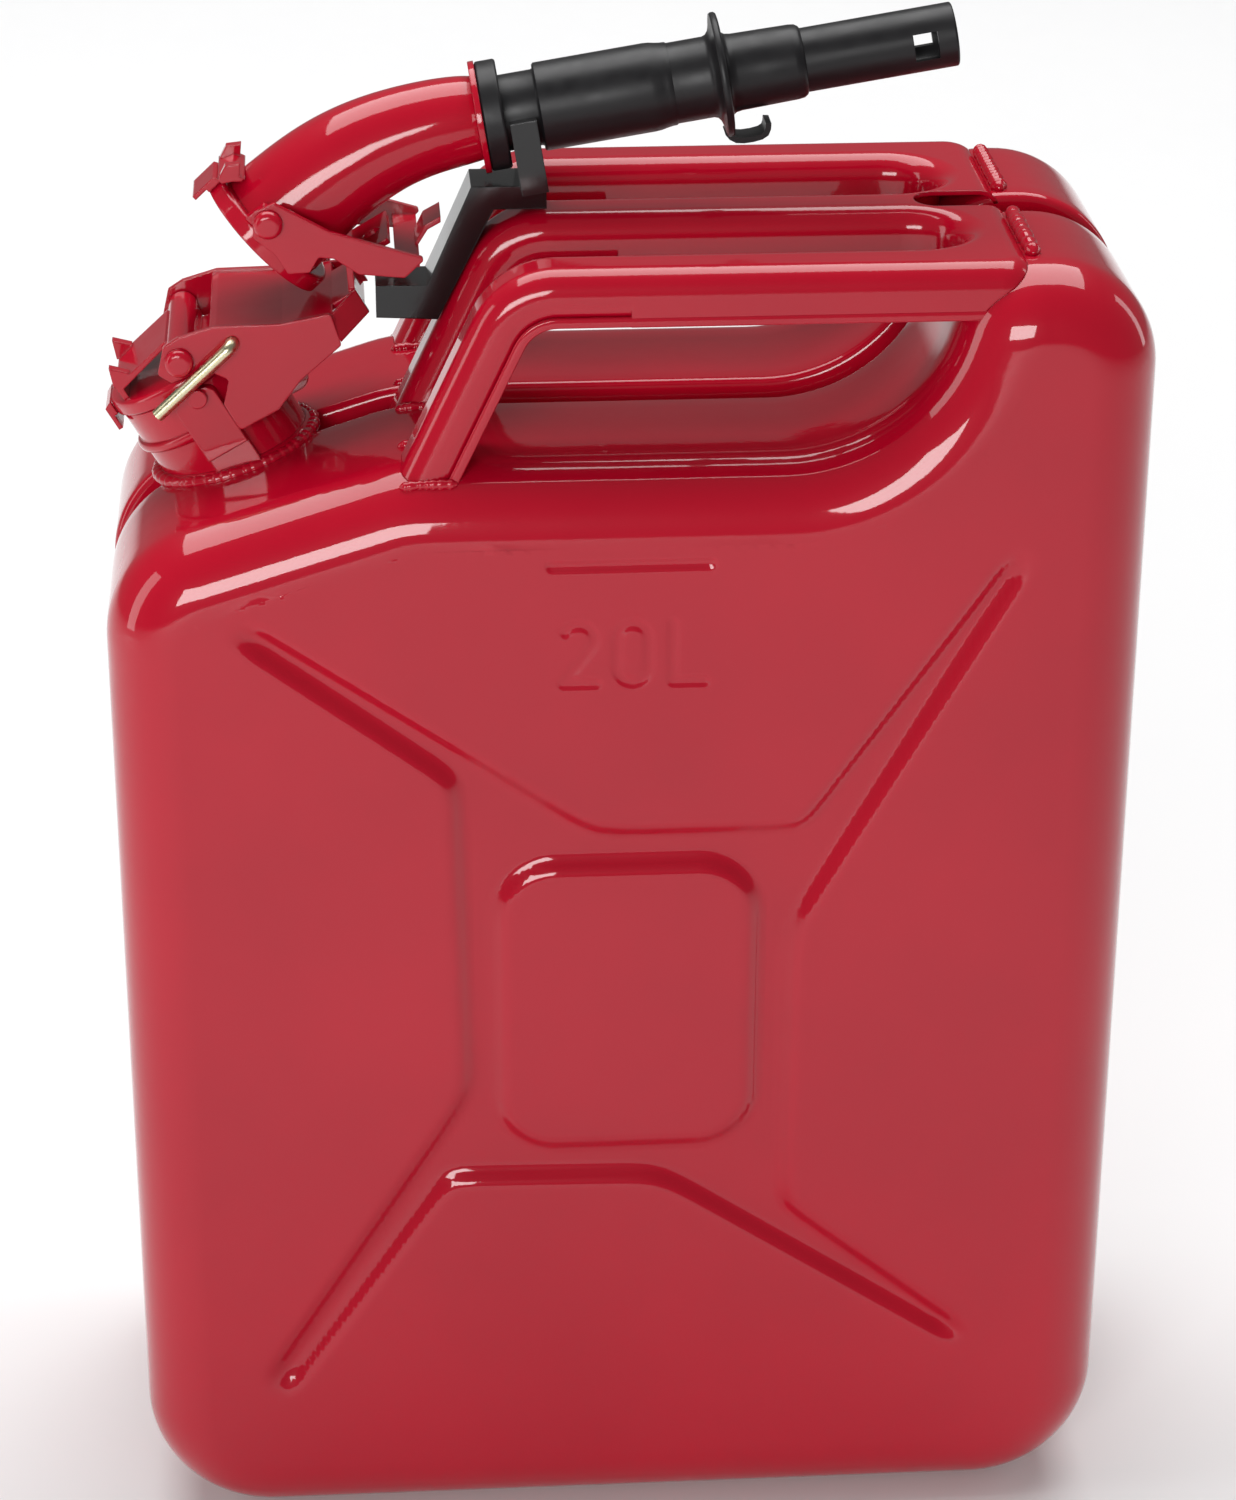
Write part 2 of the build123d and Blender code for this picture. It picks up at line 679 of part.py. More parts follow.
def nozzle_at(s):
    """Plane square to the nozzle's axis."""
    return Plane(
        origin=(nozzle_start[0] + s * cos(lean), 0, nozzle_start[1] + s * sin(lean)),
        x_dir=(0, 1, 0), z_dir=(cos(lean), 0, sin(lean)),
    )


def turned(*steps):
    """Solid of discs along the nozzle, each step (from s, to s, radius)."""
    with BuildPart() as spool:
        for low, high, radius in steps:
            with BuildSketch(nozzle_at(low)):
                Circle(radius)
            extrude(amount=high - low)
    return spool.part


def slab_on(plane_at, points, y_low, y_high):
    """Plate with its outline drawn on one of the turned side planes."""
    with BuildPart() as slab:
        with BuildSketch(plane_at(y_high)):
            with BuildLine():
                Polyline(*points, close=True)
            make_face()
        extrude(amount=y_high - y_low)
    return slab.part


def rod_on(plane_at, place, radius, y_low, y_high):
    """Round rod across the can at a place on one of the turned side planes."""
    with BuildPart() as rod:
        with BuildSketch(plane_at(y_high)):
            with Locations(place):
                Circle(radius)
        extrude(amount=y_high - y_low)
    return rod.part


def clamp_disc(radius, low, high):
    """Solid cylinder standing on the clamp plate."""
    with BuildPart() as disc:
        with BuildSketch(clamp_plane.offset(low)):
            Circle(radius)
        extrude(amount=high - low)
    return disc.part


turn = radians(90 - plate_pitch - spout_lean)
elbow_reach = elbow_r * tan(turn / 2)
start_point = Vector(plate_centre[0], 0, plate_centre[1])
start_dir = Vector(tip_z, 0, tip_x)
nozzle_dir = Vector(cos(lean), 0, sin(lean))
nozzle_point = Vector(nozzle_start[0], 0, nozzle_start[1])
gap = nozzle_point - start_point
corner_rise = (gap.X * sin(lean) - gap.Z * cos(lean)) / (tip_z * sin(lean) - tip_x * cos(lean))
corner = start_point + start_dir * corner_rise
arc_centre = corner - start_dir * elbow_reach + Vector(tip_x, 0, -tip_z) * elbow_r
up_angle = radians(90 - plate_pitch)


def elbow_station(share):
    """Plane square to the elbow's bend at a share of its arc."""
    angle = up_angle - share * turn
    here = arc_centre + Vector(-sin(angle), 0, cos(angle)) * elbow_r
    return Plane(origin=here, x_dir=(0, 1, 0), z_dir=(cos(angle), 0, sin(angle)))


def elbow_form(inset, run_on):
    """Tapering elbow from the clamp plate to the end flange, drawn in by inset."""
    start = Plane(origin=clamp_plane.offset(clamp_skirt - run_on).origin, x_dir=(0, 1, 0),
                  z_dir=clamp_plane.z_dir)
    stations = [start] + [elbow_station(share) for share in (0, 1 / 3, 2 / 3, 1)]
    stations.append(nozzle_at(flange_s + run_on))
    with BuildPart() as tube:
        for plane, radius in zip(stations, elbow_radii):
            with BuildSketch(plane):
                Circle(radius - inset)
        loft()
    return tube.part


with BuildPart() as spout_elbow:
    add(elbow_form(0, 0))
    add(elbow_form(elbow_wall, 0.5), mode=Mode.SUBTRACT)
save(spout_elbow.part, "spout_elbow")

with BuildPart() as spout_clamp_plate:
    add(clamp_disc(clamp_r, 0, clamp_skirt))
    fillet(spout_clamp_plate.edges().filter_by(GeomType.CIRCLE).sort_by(Axis.Z)[-1], 1.5)
    add(slab_on(clamp_side, hook_points(-clamp_r, 0, clamp_skirt), -hook_half, hook_half))
    add(clamp_disc(clamp_r - lid_steel, -8, clamp_skirt - lid_steel), mode=Mode.SUBTRACT)
    add(clamp_disc(elbow_radii[0] - elbow_wall, 0, clamp_skirt + 1), mode=Mode.SUBTRACT)
save(spout_clamp_plate.part, "spout_clamp_plate")

with BuildPart() as spout_gasket:
    add(clamp_disc(clamp_r - lid_steel - seal_gap, -spout_seal_proud, clamp_skirt - lid_steel))
    add(clamp_disc(spout_seal_bore, -2 * spout_seal_proud, clamp_skirt), mode=Mode.SUBTRACT)
save(spout_gasket.part, "spout_gasket")

ear_high_y = spout_cheek_y - clear
lobe_points = [
    (spout_pivot[0] - 6, clamp_skirt), (spout_pivot[0] + 6, clamp_skirt),
    (spout_pivot[0] + 5, spout_pivot[1] + 3), (spout_pivot[0], spout_pivot[1] + 5),
    (spout_pivot[0] - 5, spout_pivot[1] + 3),
]
spout_ear = slab_on(clamp_side, lobe_points, -ear_high_y, -ear_high_y + spout_ear_steel)
spout_ear -= rod_on(clamp_side, spout_pivot, pivot_pin_r, -ear_high_y, -ear_high_y + spout_ear_steel)
spout_ear -= elbow_form(0, 0)
save(mirrored(spout_ear), "spout_ears")

spout_tab_points = [
    (-clamp_r - 1, clamp_skirt), (-clamp_r + 1, clamp_skirt), (-clamp_r + 3, clamp_skirt + 3),
    (-elbow_radii[0] + 0.5, clamp_skirt + 5), (-elbow_radii[0] + 0.5, clamp_skirt + 6.5),
    (-clamp_r + 1, clamp_skirt + 5),
]
spout_horn_points = [
    (-clamp_r - 1, clamp_skirt + 0.5), (-clamp_r - 2.5, clamp_skirt + 5),
    (-clamp_r + 0.5, clamp_skirt + 9), (-clamp_r + 3.5, clamp_skirt + 5.6),
]
with BuildPart() as spout_bridge:
    add(slab_on(clamp_side, spout_tab_points, -spout_tab_half, spout_tab_half))
    add(slab_on(clamp_side, spout_horn_points, -spout_tab_half, spout_horn_width - spout_tab_half))
    add(slab_on(clamp_side, spout_horn_points, spout_tab_half - spout_horn_width, spout_tab_half))
    add(elbow_form(0, 0), mode=Mode.SUBTRACT)
save(spout_bridge.part, "spout_tab")

rivet_y = spout_cheek_y + cheek + clear
with BuildPart() as rivet:
    add(rod_on(clamp_side, spout_pivot, pivot_pin_r, -rivet_y, -ear_high_y + spout_ear_steel))
    add(rod_on(clamp_side, spout_pivot, pivot_head_r, -rivet_y - head_height, -rivet_y))
    fillet(rivet.faces().sort_by(Axis.Y)[0].edges(), 0.8 * head_height)
    add(elbow_form(0, 0), mode=Mode.SUBTRACT)
save(mirrored(rivet.part), "spout_rivets")


pivot_at = clamp_side(0).from_local_coords((*spout_pivot, 0))
spout_pivot_xz = (pivot_at.X, pivot_at.Z)
with BuildPart() as spout_cheek:
    add(slab_on(side_plane, spout_cheek_line, -spout_cheek_y - cheek, -spout_cheek_y))
    corners = spout_cheek.edges().filter_by(Axis.Y)
    fillet(corners, 1.0)
    add(rod_on(side_plane, spout_pivot_xz, pivot_pin_r + running, -spout_cheek_y - cheek,
               -spout_cheek_y), mode=Mode.SUBTRACT)
with BuildPart() as spout_lever:
    add(spout_cheek.part)
    add(spout_cheek.part.mirror(Plane.XZ))
    add(slab_on(side_plane, spout_web_points, -spout_cheek_y, spout_cheek_y))
    add(slab_on(side_plane, spout_thumb_points, -spout_thumb_half, spout_thumb_half))
save(spout_lever.part, "spout_lever")

save(turned((flange_s, flange_s + flange_thick, flange_r)) - turned(
    (flange_s, flange_s + flange_thick, elbow_radii[-1] - elbow_wall)), "spout_end_flange")

collar_s = flange_s + flange_thick
collar_end = collar_s + collar_thick
oring_mid = collar_s + oring_wire
groove_half = oring_wire / 2 + oring_room
with BuildPart() as collar_ring:
    add(turned((collar_s, collar_end, collar_r)))
    fillet(collar_ring.edges().filter_by(GeomType.CIRCLE), 1.0)
    add(turned((collar_s - 1, collar_end + 1, tip_r),
               (oring_mid - groove_half, oring_mid + groove_half, tip_r + 2 * groove_half)),
        mode=Mode.SUBTRACT)
save(collar_ring.part, "collar_ring")

with BuildPart() as collar_seal:
    add(turned((oring_mid - oring_wire / 2, oring_mid + oring_wire / 2, tip_r + oring_wire)))
    add(turned((oring_mid - oring_wire, oring_mid + oring_wire, tip_r)), mode=Mode.SUBTRACT)
save(collar_seal.part, "collar_seal")

with BuildPart() as nozzle_housing:
    add(turned((collar_end, housing_s[0], spigot_r), (housing_s[0], housing_s[1], housing_r)))
    fillet(nozzle_housing.edges().filter_by(GeomType.CIRCLE).group_by(Axis.X)[-1], 0.8)
    add(turned((collar_end - 1, housing_s[1], tip_r), (spring_room_s, housing_s[1] + 1, housing_bore_r)),
        mode=Mode.SUBTRACT)
save(nozzle_housing.part, "nozzle_housing")

slot_low = cross_pin_s - sleeve_travel - cross_pin_r - clear
slot_high = cross_pin_s + cross_pin_r + clear
with BuildPart() as inner_barrel:
    add(turned((barrel_s[0], barrel_s[1], tip_r)))
    fillet(inner_barrel.edges().filter_by(GeomType.CIRCLE).sort_by(Axis.X)[-1], 0.8)
    add(turned((barrel_s[0] - 1, barrel_s[1] + 1, tip_bore_r)), mode=Mode.SUBTRACT)
    with BuildSketch(nozzle_side(tip_r + 1)):
        with Locations(((slot_low + slot_high) / 2, 0)):
            Rectangle(slot_high - slot_low, 2 * (cross_pin_r + clear))
        with Locations((sum(window_s) / 2, 0)):
            Rectangle(window_s[1] - window_s[0], window_width)
    extrude(amount=2 * tip_r + 2, mode=Mode.SUBTRACT)
save(inner_barrel.part, "inner_barrel")

with BuildPart() as valve_seat:
    add(turned((seat_s, seat_s + seat_thick, tip_bore_r)))
    add(turned((seat_s - 1, seat_s + seat_thick + 1, seat_bore)), mode=Mode.SUBTRACT)
save(valve_seat.part, "valve_seat")

hook_line = [
    (stop_s, -stop_r + 1.5), (stop_s + stop_thick, -stop_r + 1.5), (stop_s + 5, -stop_r - 1),
    (stop_s + 12, -stop_r - 0.5), (stop_s + 13.5, -stop_r + 3), (stop_s + 15, -stop_r + 2.6),
    (stop_s + 13.6, -stop_r - 2.4), (stop_s + 4, -stop_r - 3), (stop_s, -stop_r - 0.5),
]
with BuildPart() as nozzle_sleeve:
    add(turned((sleeve_s[0], stop_s, sleeve_r), (stop_s, stop_s + stop_thick, stop_r),
               (stop_s + stop_thick, sleeve_s[1], sleeve_front_r)))
    fillet(nozzle_sleeve.edges().filter_by(GeomType.CIRCLE).sort_by(Axis.X)[-1], 0.7)
    add(slab_on(nozzle_side, hook_line, -hook_width / 2, hook_width / 2))
    add(turned((sleeve_s[0] - 1, sleeve_s[1] + 1, tip_r + running)), mode=Mode.SUBTRACT)
    add(rod_on(nozzle_side, (cross_pin_s, 0), cross_pin_r, -sleeve_r, sleeve_r), mode=Mode.SUBTRACT)
save(nozzle_sleeve.part, "nozzle_sleeve")

cross_half = sleeve_front_r - cross_pin_sink
save(rod_on(nozzle_side, (cross_pin_s, 0), cross_pin_r, -cross_half, cross_half), "valve_cross_pin")

seal_low = seat_s - clear - seal_thick
with BuildPart() as valve_poppet:
    add(turned((seal_low - poppet_thick, seal_low, poppet_r),
               (seal_low, cross_pin_s + 2 * cross_pin_r, stem_r)))
    add(rod_on(nozzle_side, (cross_pin_s, 0), cross_pin_r, -stem_r, stem_r), mode=Mode.SUBTRACT)
save(valve_poppet.part, "valve_poppet")

with BuildPart() as valve_seal:
    add(turned((seal_low, seal_low + seal_thick, poppet_r)))
    add(turned((seal_low - 1, seat_s + 1, stem_r)), mode=Mode.SUBTRACT)
save(valve_seal.part, "valve_seal")

spring_mid_r = (tip_r + housing_bore_r) / 2
spring_low = spring_room_s + spring_wire_r + spring_end_gap
spring_high = sleeve_s[0] - spring_wire_r - spring_end_gap
with BuildPart() as sleeve_spring:
    with BuildLine():
        foot = nozzle_at(spring_low)
        coil = Helix(pitch=(spring_high - spring_low) / spring_turns, height=spring_high - spring_low,
                     radius=spring_mid_r, center=foot.origin, direction=foot.z_dir)
    with BuildSketch(Plane(origin=coil @ 0, z_dir=coil % 0)):
        Circle(spring_wire_r)
    sweep(is_frenet=True)
save(sleeve_spring.part, "sleeve_spring")


# ---- holder ------------------------------------------------------------------------
with BuildPart() as spout_holder:
    add(slab_on(side_plane, holder_line, -holder_half, holder_half))
    pocket = [(x + holder_steel, z - holder_steel) for x, z in holder_line]
    add(slab_on(side_plane, pocket, -holder_half + holder_steel, holder_half - holder_steel),
        mode=Mode.SUBTRACT)
    fork_points = [(fork_s[0], -fork_depth), (fork_s[1], -fork_depth), (fork_s[1], 0.5),
                   (fork_s[0], 0.5)]
    add(slab_on(nozzle_side, fork_points, -fork_half, fork_half))
    add(turned((fork_s[0] - 1, fork_s[1] + 1, spigot_r + clear)), mode=Mode.SUBTRACT)
    add(handle_pressing.part, mode=Mode.SUBTRACT)
save(spout_holder.part, "spout_holder")
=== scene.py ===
"""Builds the looks of a 20 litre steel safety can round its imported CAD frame.

Sizes are in millimetres in the code and become metres where a mesh is made.
"""

import json
from math import atan2, ceil, cos, pi, radians, sin, sqrt, tan

import bpy
import numpy as np
from bpy.props import FloatProperty, FloatVectorProperty, PointerProperty
from mathutils import Matrix, Vector
from mathutils.geometry import delaunay_2d_cdt


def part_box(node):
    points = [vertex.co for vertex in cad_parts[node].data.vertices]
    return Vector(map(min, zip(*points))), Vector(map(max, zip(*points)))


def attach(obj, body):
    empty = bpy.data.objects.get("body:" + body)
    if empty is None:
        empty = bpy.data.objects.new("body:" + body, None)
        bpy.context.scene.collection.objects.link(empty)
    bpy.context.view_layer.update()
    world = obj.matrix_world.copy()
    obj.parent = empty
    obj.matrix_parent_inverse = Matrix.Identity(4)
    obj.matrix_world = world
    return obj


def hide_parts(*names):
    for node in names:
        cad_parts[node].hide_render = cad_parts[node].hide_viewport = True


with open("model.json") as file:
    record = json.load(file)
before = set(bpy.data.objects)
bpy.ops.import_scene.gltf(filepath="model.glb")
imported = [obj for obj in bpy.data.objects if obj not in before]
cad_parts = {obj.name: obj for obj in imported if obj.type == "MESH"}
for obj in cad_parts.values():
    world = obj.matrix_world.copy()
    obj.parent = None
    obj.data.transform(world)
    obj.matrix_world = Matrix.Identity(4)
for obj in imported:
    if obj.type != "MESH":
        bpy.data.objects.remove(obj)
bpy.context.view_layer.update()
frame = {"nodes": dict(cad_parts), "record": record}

bl_info = {
    "name": "Safety can builder",
    "version": (1, 0, 0),
    "blender": (4, 5, 0),
    "location": "View3D > Sidebar > Safety can",
    "description": "Builds a steel safety can with its lid, lever and stowed spout",
    "category": "Add Mesh",
}

MM = 0.001
NEAR, FAR = -1, 1


# ---- sizes taken from the frame ------------------------------------------------
def box_mm(node):
    """Lowest and highest corner of a CAD node in millimetres."""
    low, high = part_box(node)
    return np.array(low) / MM, np.array(high) / MM


tank_low, tank_high = box_mm("tank_half_near")
HALF_LENGTH = float(tank_high[0])
HALF_WIDTH = float(-tank_low[1])
HUMP_TOP = float(tank_high[2])
HANDLE_TOP = float(box_mm("handle_pressing")[1][2])


class TankSizes(bpy.types.PropertyGroup):
    """Sizes of the tank's pressed halves that a user would change."""

    saddle_height: FloatProperty(
        name="Saddle height", description="Height of the floor of the hand space",
        default=404.0)
    shoulder_height: FloatProperty(
        name="Shoulder height", description="Where the shoulder line meets the neck-side wall",
        default=373.0)
    shoulder_pitch: FloatProperty(
        name="Shoulder pitch", description="Rise of the shoulder towards the saddle",
        default=radians(17.5), subtype="ANGLE")
    hump_face_x: FloatProperty(
        name="Hump face", description="Where the hump's inner face meets the saddle", default=91.0)
    hump_face_pitch: FloatProperty(
        name="Hump face pitch", description="Steepest part of the hump's inner face",
        default=radians(71.5), subtype="ANGLE")
    face_edge: FloatProperty(
        name="Face rounding", description="Rounding between a face and the walls", default=24.0)
    groove_half: FloatProperty(
        name="Groove half width", description="Half the width of the middle groove", default=8.0)
    groove_depth: FloatProperty(
        name="Groove depth", description="Depth of the middle groove", default=9.0)
    press_depth: FloatProperty(
        name="Pressing depth", description="Depth of the cross pressing", default=4.0)
    press_ramp: FloatProperty(
        name="Pressing ramp", description="Width of the pressing's sloping edge", default=6.5)
    grid: FloatProperty(
        name="Grid", description="Spacing of the mesh over a face", default=2.0, min=0.5)


class FinishColours(bpy.types.PropertyGroup):
    """Colours of the finishes."""

    red: FloatVectorProperty(
        name="Red enamel", description="Colour of the enamel", subtype="COLOR", size=3,
        default=(0.42, 0.0012, 0.016), min=0, max=1)
    black: FloatVectorProperty(
        name="Black enamel", description="Colour of the holder", subtype="COLOR", size=3,
        default=(0.006, 0.0055, 0.006), min=0, max=1)
    plastic: FloatVectorProperty(
        name="Black plastic", description="Colour of the nozzle", subtype="COLOR", size=3,
        default=(0.008, 0.0075, 0.0085), min=0, max=1)
    zinc: FloatVectorProperty(
        name="Yellow zinc", description="Colour of the lock pin", subtype="COLOR", size=3,
        default=(0.70, 0.62, 0.36), min=0, max=1)


# ---- materials -----------------------------------------------------------------
class Nodes:
    """Short way to wire a material's node tree."""

    def __init__(self, name):
        self.material = bpy.data.materials.new(name)
        self.material.use_nodes = True
        self.tree = self.material.node_tree
        self.shader = self.tree.nodes["Principled BSDF"]
        self.place = self.tree.nodes.new("ShaderNodeTexCoord").outputs["Object"]

    def add(self, kind, inputs=None, **settings):
        """One node, with its settings and the values or links of its inputs."""
        node = self.tree.nodes.new(kind)
        for key, value in settings.items():
            setattr(node, key, value)
        for key, value in (inputs or {}).items():
            self.feed(node.inputs[key], value)
        return node

    def feed(self, socket, value):
        """Link a socket, or set its value."""
        if isinstance(value, bpy.types.NodeSocket):
            self.tree.links.new(value, socket)
        else:
            socket.default_value = value

    def noise(self, scale, detail=2.0, roughness=0.5, stretch=(1, 1, 1)):
        """Noise over the object, scale in features to the metre."""
        mapping = self.add("ShaderNodeMapping", {"Vector": self.place, "Scale": stretch})
        return self.add("ShaderNodeTexNoise", {
            "Vector": mapping.outputs[0], "Scale": scale, "Detail": detail,
            "Roughness": roughness}).outputs["Fac"]

    def spread(self, value, low, high, to_low, to_high):
        """Map a value from one range to another."""
        return self.add("ShaderNodeMapRange", {
            "Value": value, "From Min": low, "From Max": high, "To Min": to_low,
            "To Max": to_high}).outputs[0]

    def blend(self, share, first, second):
        """Mix two colours by a share."""
        node = self.add("ShaderNodeMix", data_type="RGBA")
        self.feed(node.inputs[0], share)
        self.feed(node.inputs[6], first)
        self.feed(node.inputs[7], second)
        return node.outputs[2]

    def relief(self, height, distance, strength=1.0, base=None):
        """Bump from a height, distance in metres."""
        node = self.add("ShaderNodeBump", {
            "Height": height, "Distance": distance, "Strength": strength})
        if base is not None:
            self.feed(node.inputs["Normal"], base)
        return node.outputs[0]


def shade(colour, factor):
    """A colour made lighter or darker, as RGBA."""
    return (*[min(1.0, channel * factor) for channel in colour], 1.0)


def enamel(name, colour, coat_roughness=0.045, edge=0.0):
    """Glossy stoved enamel: clear coat, faint orange peel, paint a little thin and thick.

    The paint fills and rounds the edges of small pressed parts by edge, in metres.
    """
    mat = Nodes(name)
    rounded = mat.add("ShaderNodeBevel", {"Radius": edge}, samples=6).outputs[0] if edge else None
    drift = mat.noise(9.0, 3.0)
    mat.feed(mat.shader.inputs["Base Color"],
             mat.blend(mat.spread(drift, 0.35, 0.65, 0, 1), shade(colour, 0.94), shade(colour, 1.05)))
    haze = mat.noise(60.0, 4.0)
    mat.feed(mat.shader.inputs["Roughness"], mat.spread(haze, 0.3, 0.7, 0.30, 0.42))
    peel = mat.noise(420.0, 1.5)
    ripple = mat.noise(45.0, 2.0)
    coat = mat.relief(peel, 0.00002, 0.5, mat.relief(ripple, 0.0002, 0.35, rounded))
    mat.feed(mat.shader.inputs["Coat Normal"], coat)
    mat.feed(mat.shader.inputs["Normal"], coat)
    mat.shader.inputs["Specular IOR Level"].default_value = 0.05
    mat.shader.inputs["Coat Weight"].default_value = 1.0
    mat.shader.inputs["Coat Roughness"].default_value = coat_roughness
    mat.shader.inputs["Coat IOR"].default_value = 1.5
    return mat.material


def moulded_plastic(name, colour):
    """Matt moulded plastic with a fine spark-eroded grain."""
    mat = Nodes(name)
    drift = mat.noise(30.0, 3.0)
    mat.feed(mat.shader.inputs["Base Color"],
             mat.blend(drift, shade(colour, 0.85), shade(colour, 1.25)))
    mat.feed(mat.shader.inputs["Roughness"], mat.spread(mat.noise(140.0, 4.0), 0.3, 0.7, 0.34, 0.46))
    mat.shader.inputs["Specular IOR Level"].default_value = 0.35
    mat.feed(mat.shader.inputs["Normal"], mat.relief(mat.noise(2600.0, 2.0), 0.00004, 0.5))
    return mat.material


def plated_steel(name, colour, roughness):
    """Passivated or bright wire with drawing lines and a slight iridescent drift."""
    mat = Nodes(name)
    drift = mat.noise(160.0, 3.0)
    tint = (colour[0] * 0.85, colour[1] * 0.95, min(1.0, colour[2] * 1.25), 1.0)
    mat.feed(mat.shader.inputs["Base Color"], mat.blend(drift, shade(colour, 1.05), tint))
    mat.shader.inputs["Metallic"].default_value = 1.0
    lines = mat.noise(900.0, 3.0, stretch=(1, 0.08, 1))
    mat.feed(mat.shader.inputs["Roughness"],
             mat.spread(lines, 0.3, 0.7, roughness - 0.06, roughness + 0.1))
    mat.feed(mat.shader.inputs["Normal"], mat.relief(lines, 0.00003, 0.6))
    return mat.material


def seal_rubber(name):
    """Black nitrile rubber with a dusty matt skin."""
    mat = Nodes(name)
    dust = mat.noise(220.0, 5.0)
    mat.feed(mat.shader.inputs["Base Color"],
             mat.blend(mat.spread(dust, 0.45, 0.8, 0, 1),
                       (0.015, 0.015, 0.015, 1), (0.05, 0.05, 0.05, 1)))
    mat.feed(mat.shader.inputs["Roughness"], mat.spread(dust, 0.3, 0.7, 0.6, 0.8))
    mat.feed(mat.shader.inputs["Normal"], mat.relief(mat.noise(1500.0, 3.0), 0.00005, 0.6))
    return mat.material


def studio_floor(name):
    """Seamless white paper."""
    mat = Nodes(name)
    mat.feed(mat.shader.inputs["Base Color"],
             mat.blend(mat.noise(3.0, 3.0), (0.79, 0.79, 0.795, 1), (0.81, 0.81, 0.81, 1)))
    mat.feed(mat.shader.inputs["Roughness"], mat.spread(mat.noise(50.0, 3.0), 0.3, 0.7, 0.72, 0.82))
    return mat.material


finishes = {}


# ---- meshes ----------------------------------------------------------------------
def add_mesh(name, points, faces, finish, body, replaces=(), sharp=35.0):
    """Mesh object from points in millimetres, smooth up to a sharp angle, riding on a body."""
    mesh = bpy.data.meshes.new(name)
    mesh.from_pydata((np.asarray(points, float) * MM).tolist(), [], [list(f) for f in faces])
    mesh.validate()
    for polygon in mesh.polygons:
        polygon.use_smooth = True
    mesh.set_sharp_from_angle(angle=radians(sharp))
    piece = bpy.data.objects.new(name, mesh)
    bpy.context.scene.collection.objects.link(piece)
    mesh.materials.append(finishes[finish])
    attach(piece, body)
    if replaces:
        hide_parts(*replaces)
    return piece


def ring_faces(rows, columns, closed_columns=True, closed_rows=False, flip=False, start=0):
    """Quads of a grid of points stored row by row."""
    faces = []
    for i in range(rows if closed_rows else rows - 1):
        for j in range(columns if closed_columns else columns - 1):
            a = start + i * columns + j
            b = start + i * columns + (j + 1) % columns
            c = start + ((i + 1) % rows) * columns + (j + 1) % columns
            d = start + ((i + 1) % rows) * columns + j
            faces.append((a, d, c, b) if flip else (a, b, c, d))
    return faces


def rounded_path(corners, radii, straight_step, arc_step):
    """Points and outward normals along a closed outline of lines and tangent arcs.

    The corners run clockwise as seen with X to the right and Z up.
    """
    corners = np.asarray(corners, float)
    count = len(corners)
    arcs = []
    for i, radius in enumerate(radii):
        before, here, after = corners[i - 1], corners[i], corners[(i + 1) % count]
        come = (here - before) / np.linalg.norm(here - before)
        leave = (after - here) / np.linalg.norm(after - here)
        turn = atan2(come[1] * leave[0] - come[0] * leave[1], come @ leave)
        reach = radius * tan(abs(turn) / 2)
        arcs.append((here - come * reach, here + leave * reach, come, turn, radius))
    points, normals = [], []
    for i, (start, end, come, turn, radius) in enumerate(arcs):
        side = 1 if turn > 0 else -1
        out = np.array([-come[1], come[0]])
        centre = start - out * radius * side
        steps = max(2, ceil(abs(turn) / arc_step))
        for k in range(steps + 1):
            angle = -turn * k / steps
            normal = np.array([out[0] * cos(angle) - out[1] * sin(angle),
                               out[0] * sin(angle) + out[1] * cos(angle)])
            points.append(centre + normal * radius * side)
            normals.append(normal)
        gap = arcs[(i + 1) % count][0] - end
        length = np.linalg.norm(gap)
        steps = max(1, round(length / straight_step))
        for k in range(1, steps):
            points.append(end + gap * k / steps)
            normals.append(normals[-1])
    return np.array(points), np.array(normals)


# ---- tank ------------------------------------------------------------------------
BASE_CORNER, SHOULDER, SADDLE_BLEND, SADDLE, HUMP_INNER, HUMP_OUTER = 45, 40, 60, 55, 28, 36
PANELS = (
    ((-124, 357), (-11.7, 278.2), (57, 278.2), (126, 378)),
    ((132, 371), (57, 236.8), (56.4, 129.2), (120, 76.7)),
    ((119, 66), (10, 140.5), (-62, 141.5), (-121, 54)),
    ((-128, 66), (-57.3, 177.8), (-60.5, 295.7), (-132, 350)),
)
ARMS = (((-36, 287), (-131, 356)), ((57, 257), (130, 377)), ((35, 134), (122, 68)),
        ((-59, 160), (-127, 56)))
SQUARE = (-1.0, 209.5, 44.0, 54.5, 20.0)


def tank_outline(sizes, straight_step=6.0, arc_step=radians(4)):
    """The can's side outline and its outward normals."""
    rise = sizes.saddle_height - sizes.shoulder_height
    saddle_x = -HALF_LENGTH + rise / tan(sizes.shoulder_pitch)
    hump_x = sizes.hump_face_x + (HUMP_TOP - sizes.saddle_height) / tan(sizes.hump_face_pitch)
    corners = [
        (-HALF_LENGTH, 0), (-HALF_LENGTH, sizes.shoulder_height), (saddle_x, sizes.saddle_height),
        (sizes.hump_face_x, sizes.saddle_height), (hump_x, HUMP_TOP), (HALF_LENGTH, HUMP_TOP),
        (HALF_LENGTH, 0),
    ]
    radii = [BASE_CORNER, SHOULDER, SADDLE_BLEND, SADDLE, HUMP_INNER, HUMP_OUTER, BASE_CORNER]
    return rounded_path(corners, radii, straight_step, arc_step)


def to_line(points, start, end):
    """Signed distance of points from a line, positive on its left."""
    start, end = np.array(start, float), np.array(end, float)
    along = (end - start) / np.linalg.norm(end - start)
    offset = points - start
    return offset[:, 1] * along[0] - offset[:, 0] * along[1]


def soft_max(values, width):
    """Smooth maximum of several distances, which rounds the corner where they meet."""
    top = np.max(values, axis=0)
    return top + width * np.log(np.sum(np.exp((values - top) / width), axis=0))


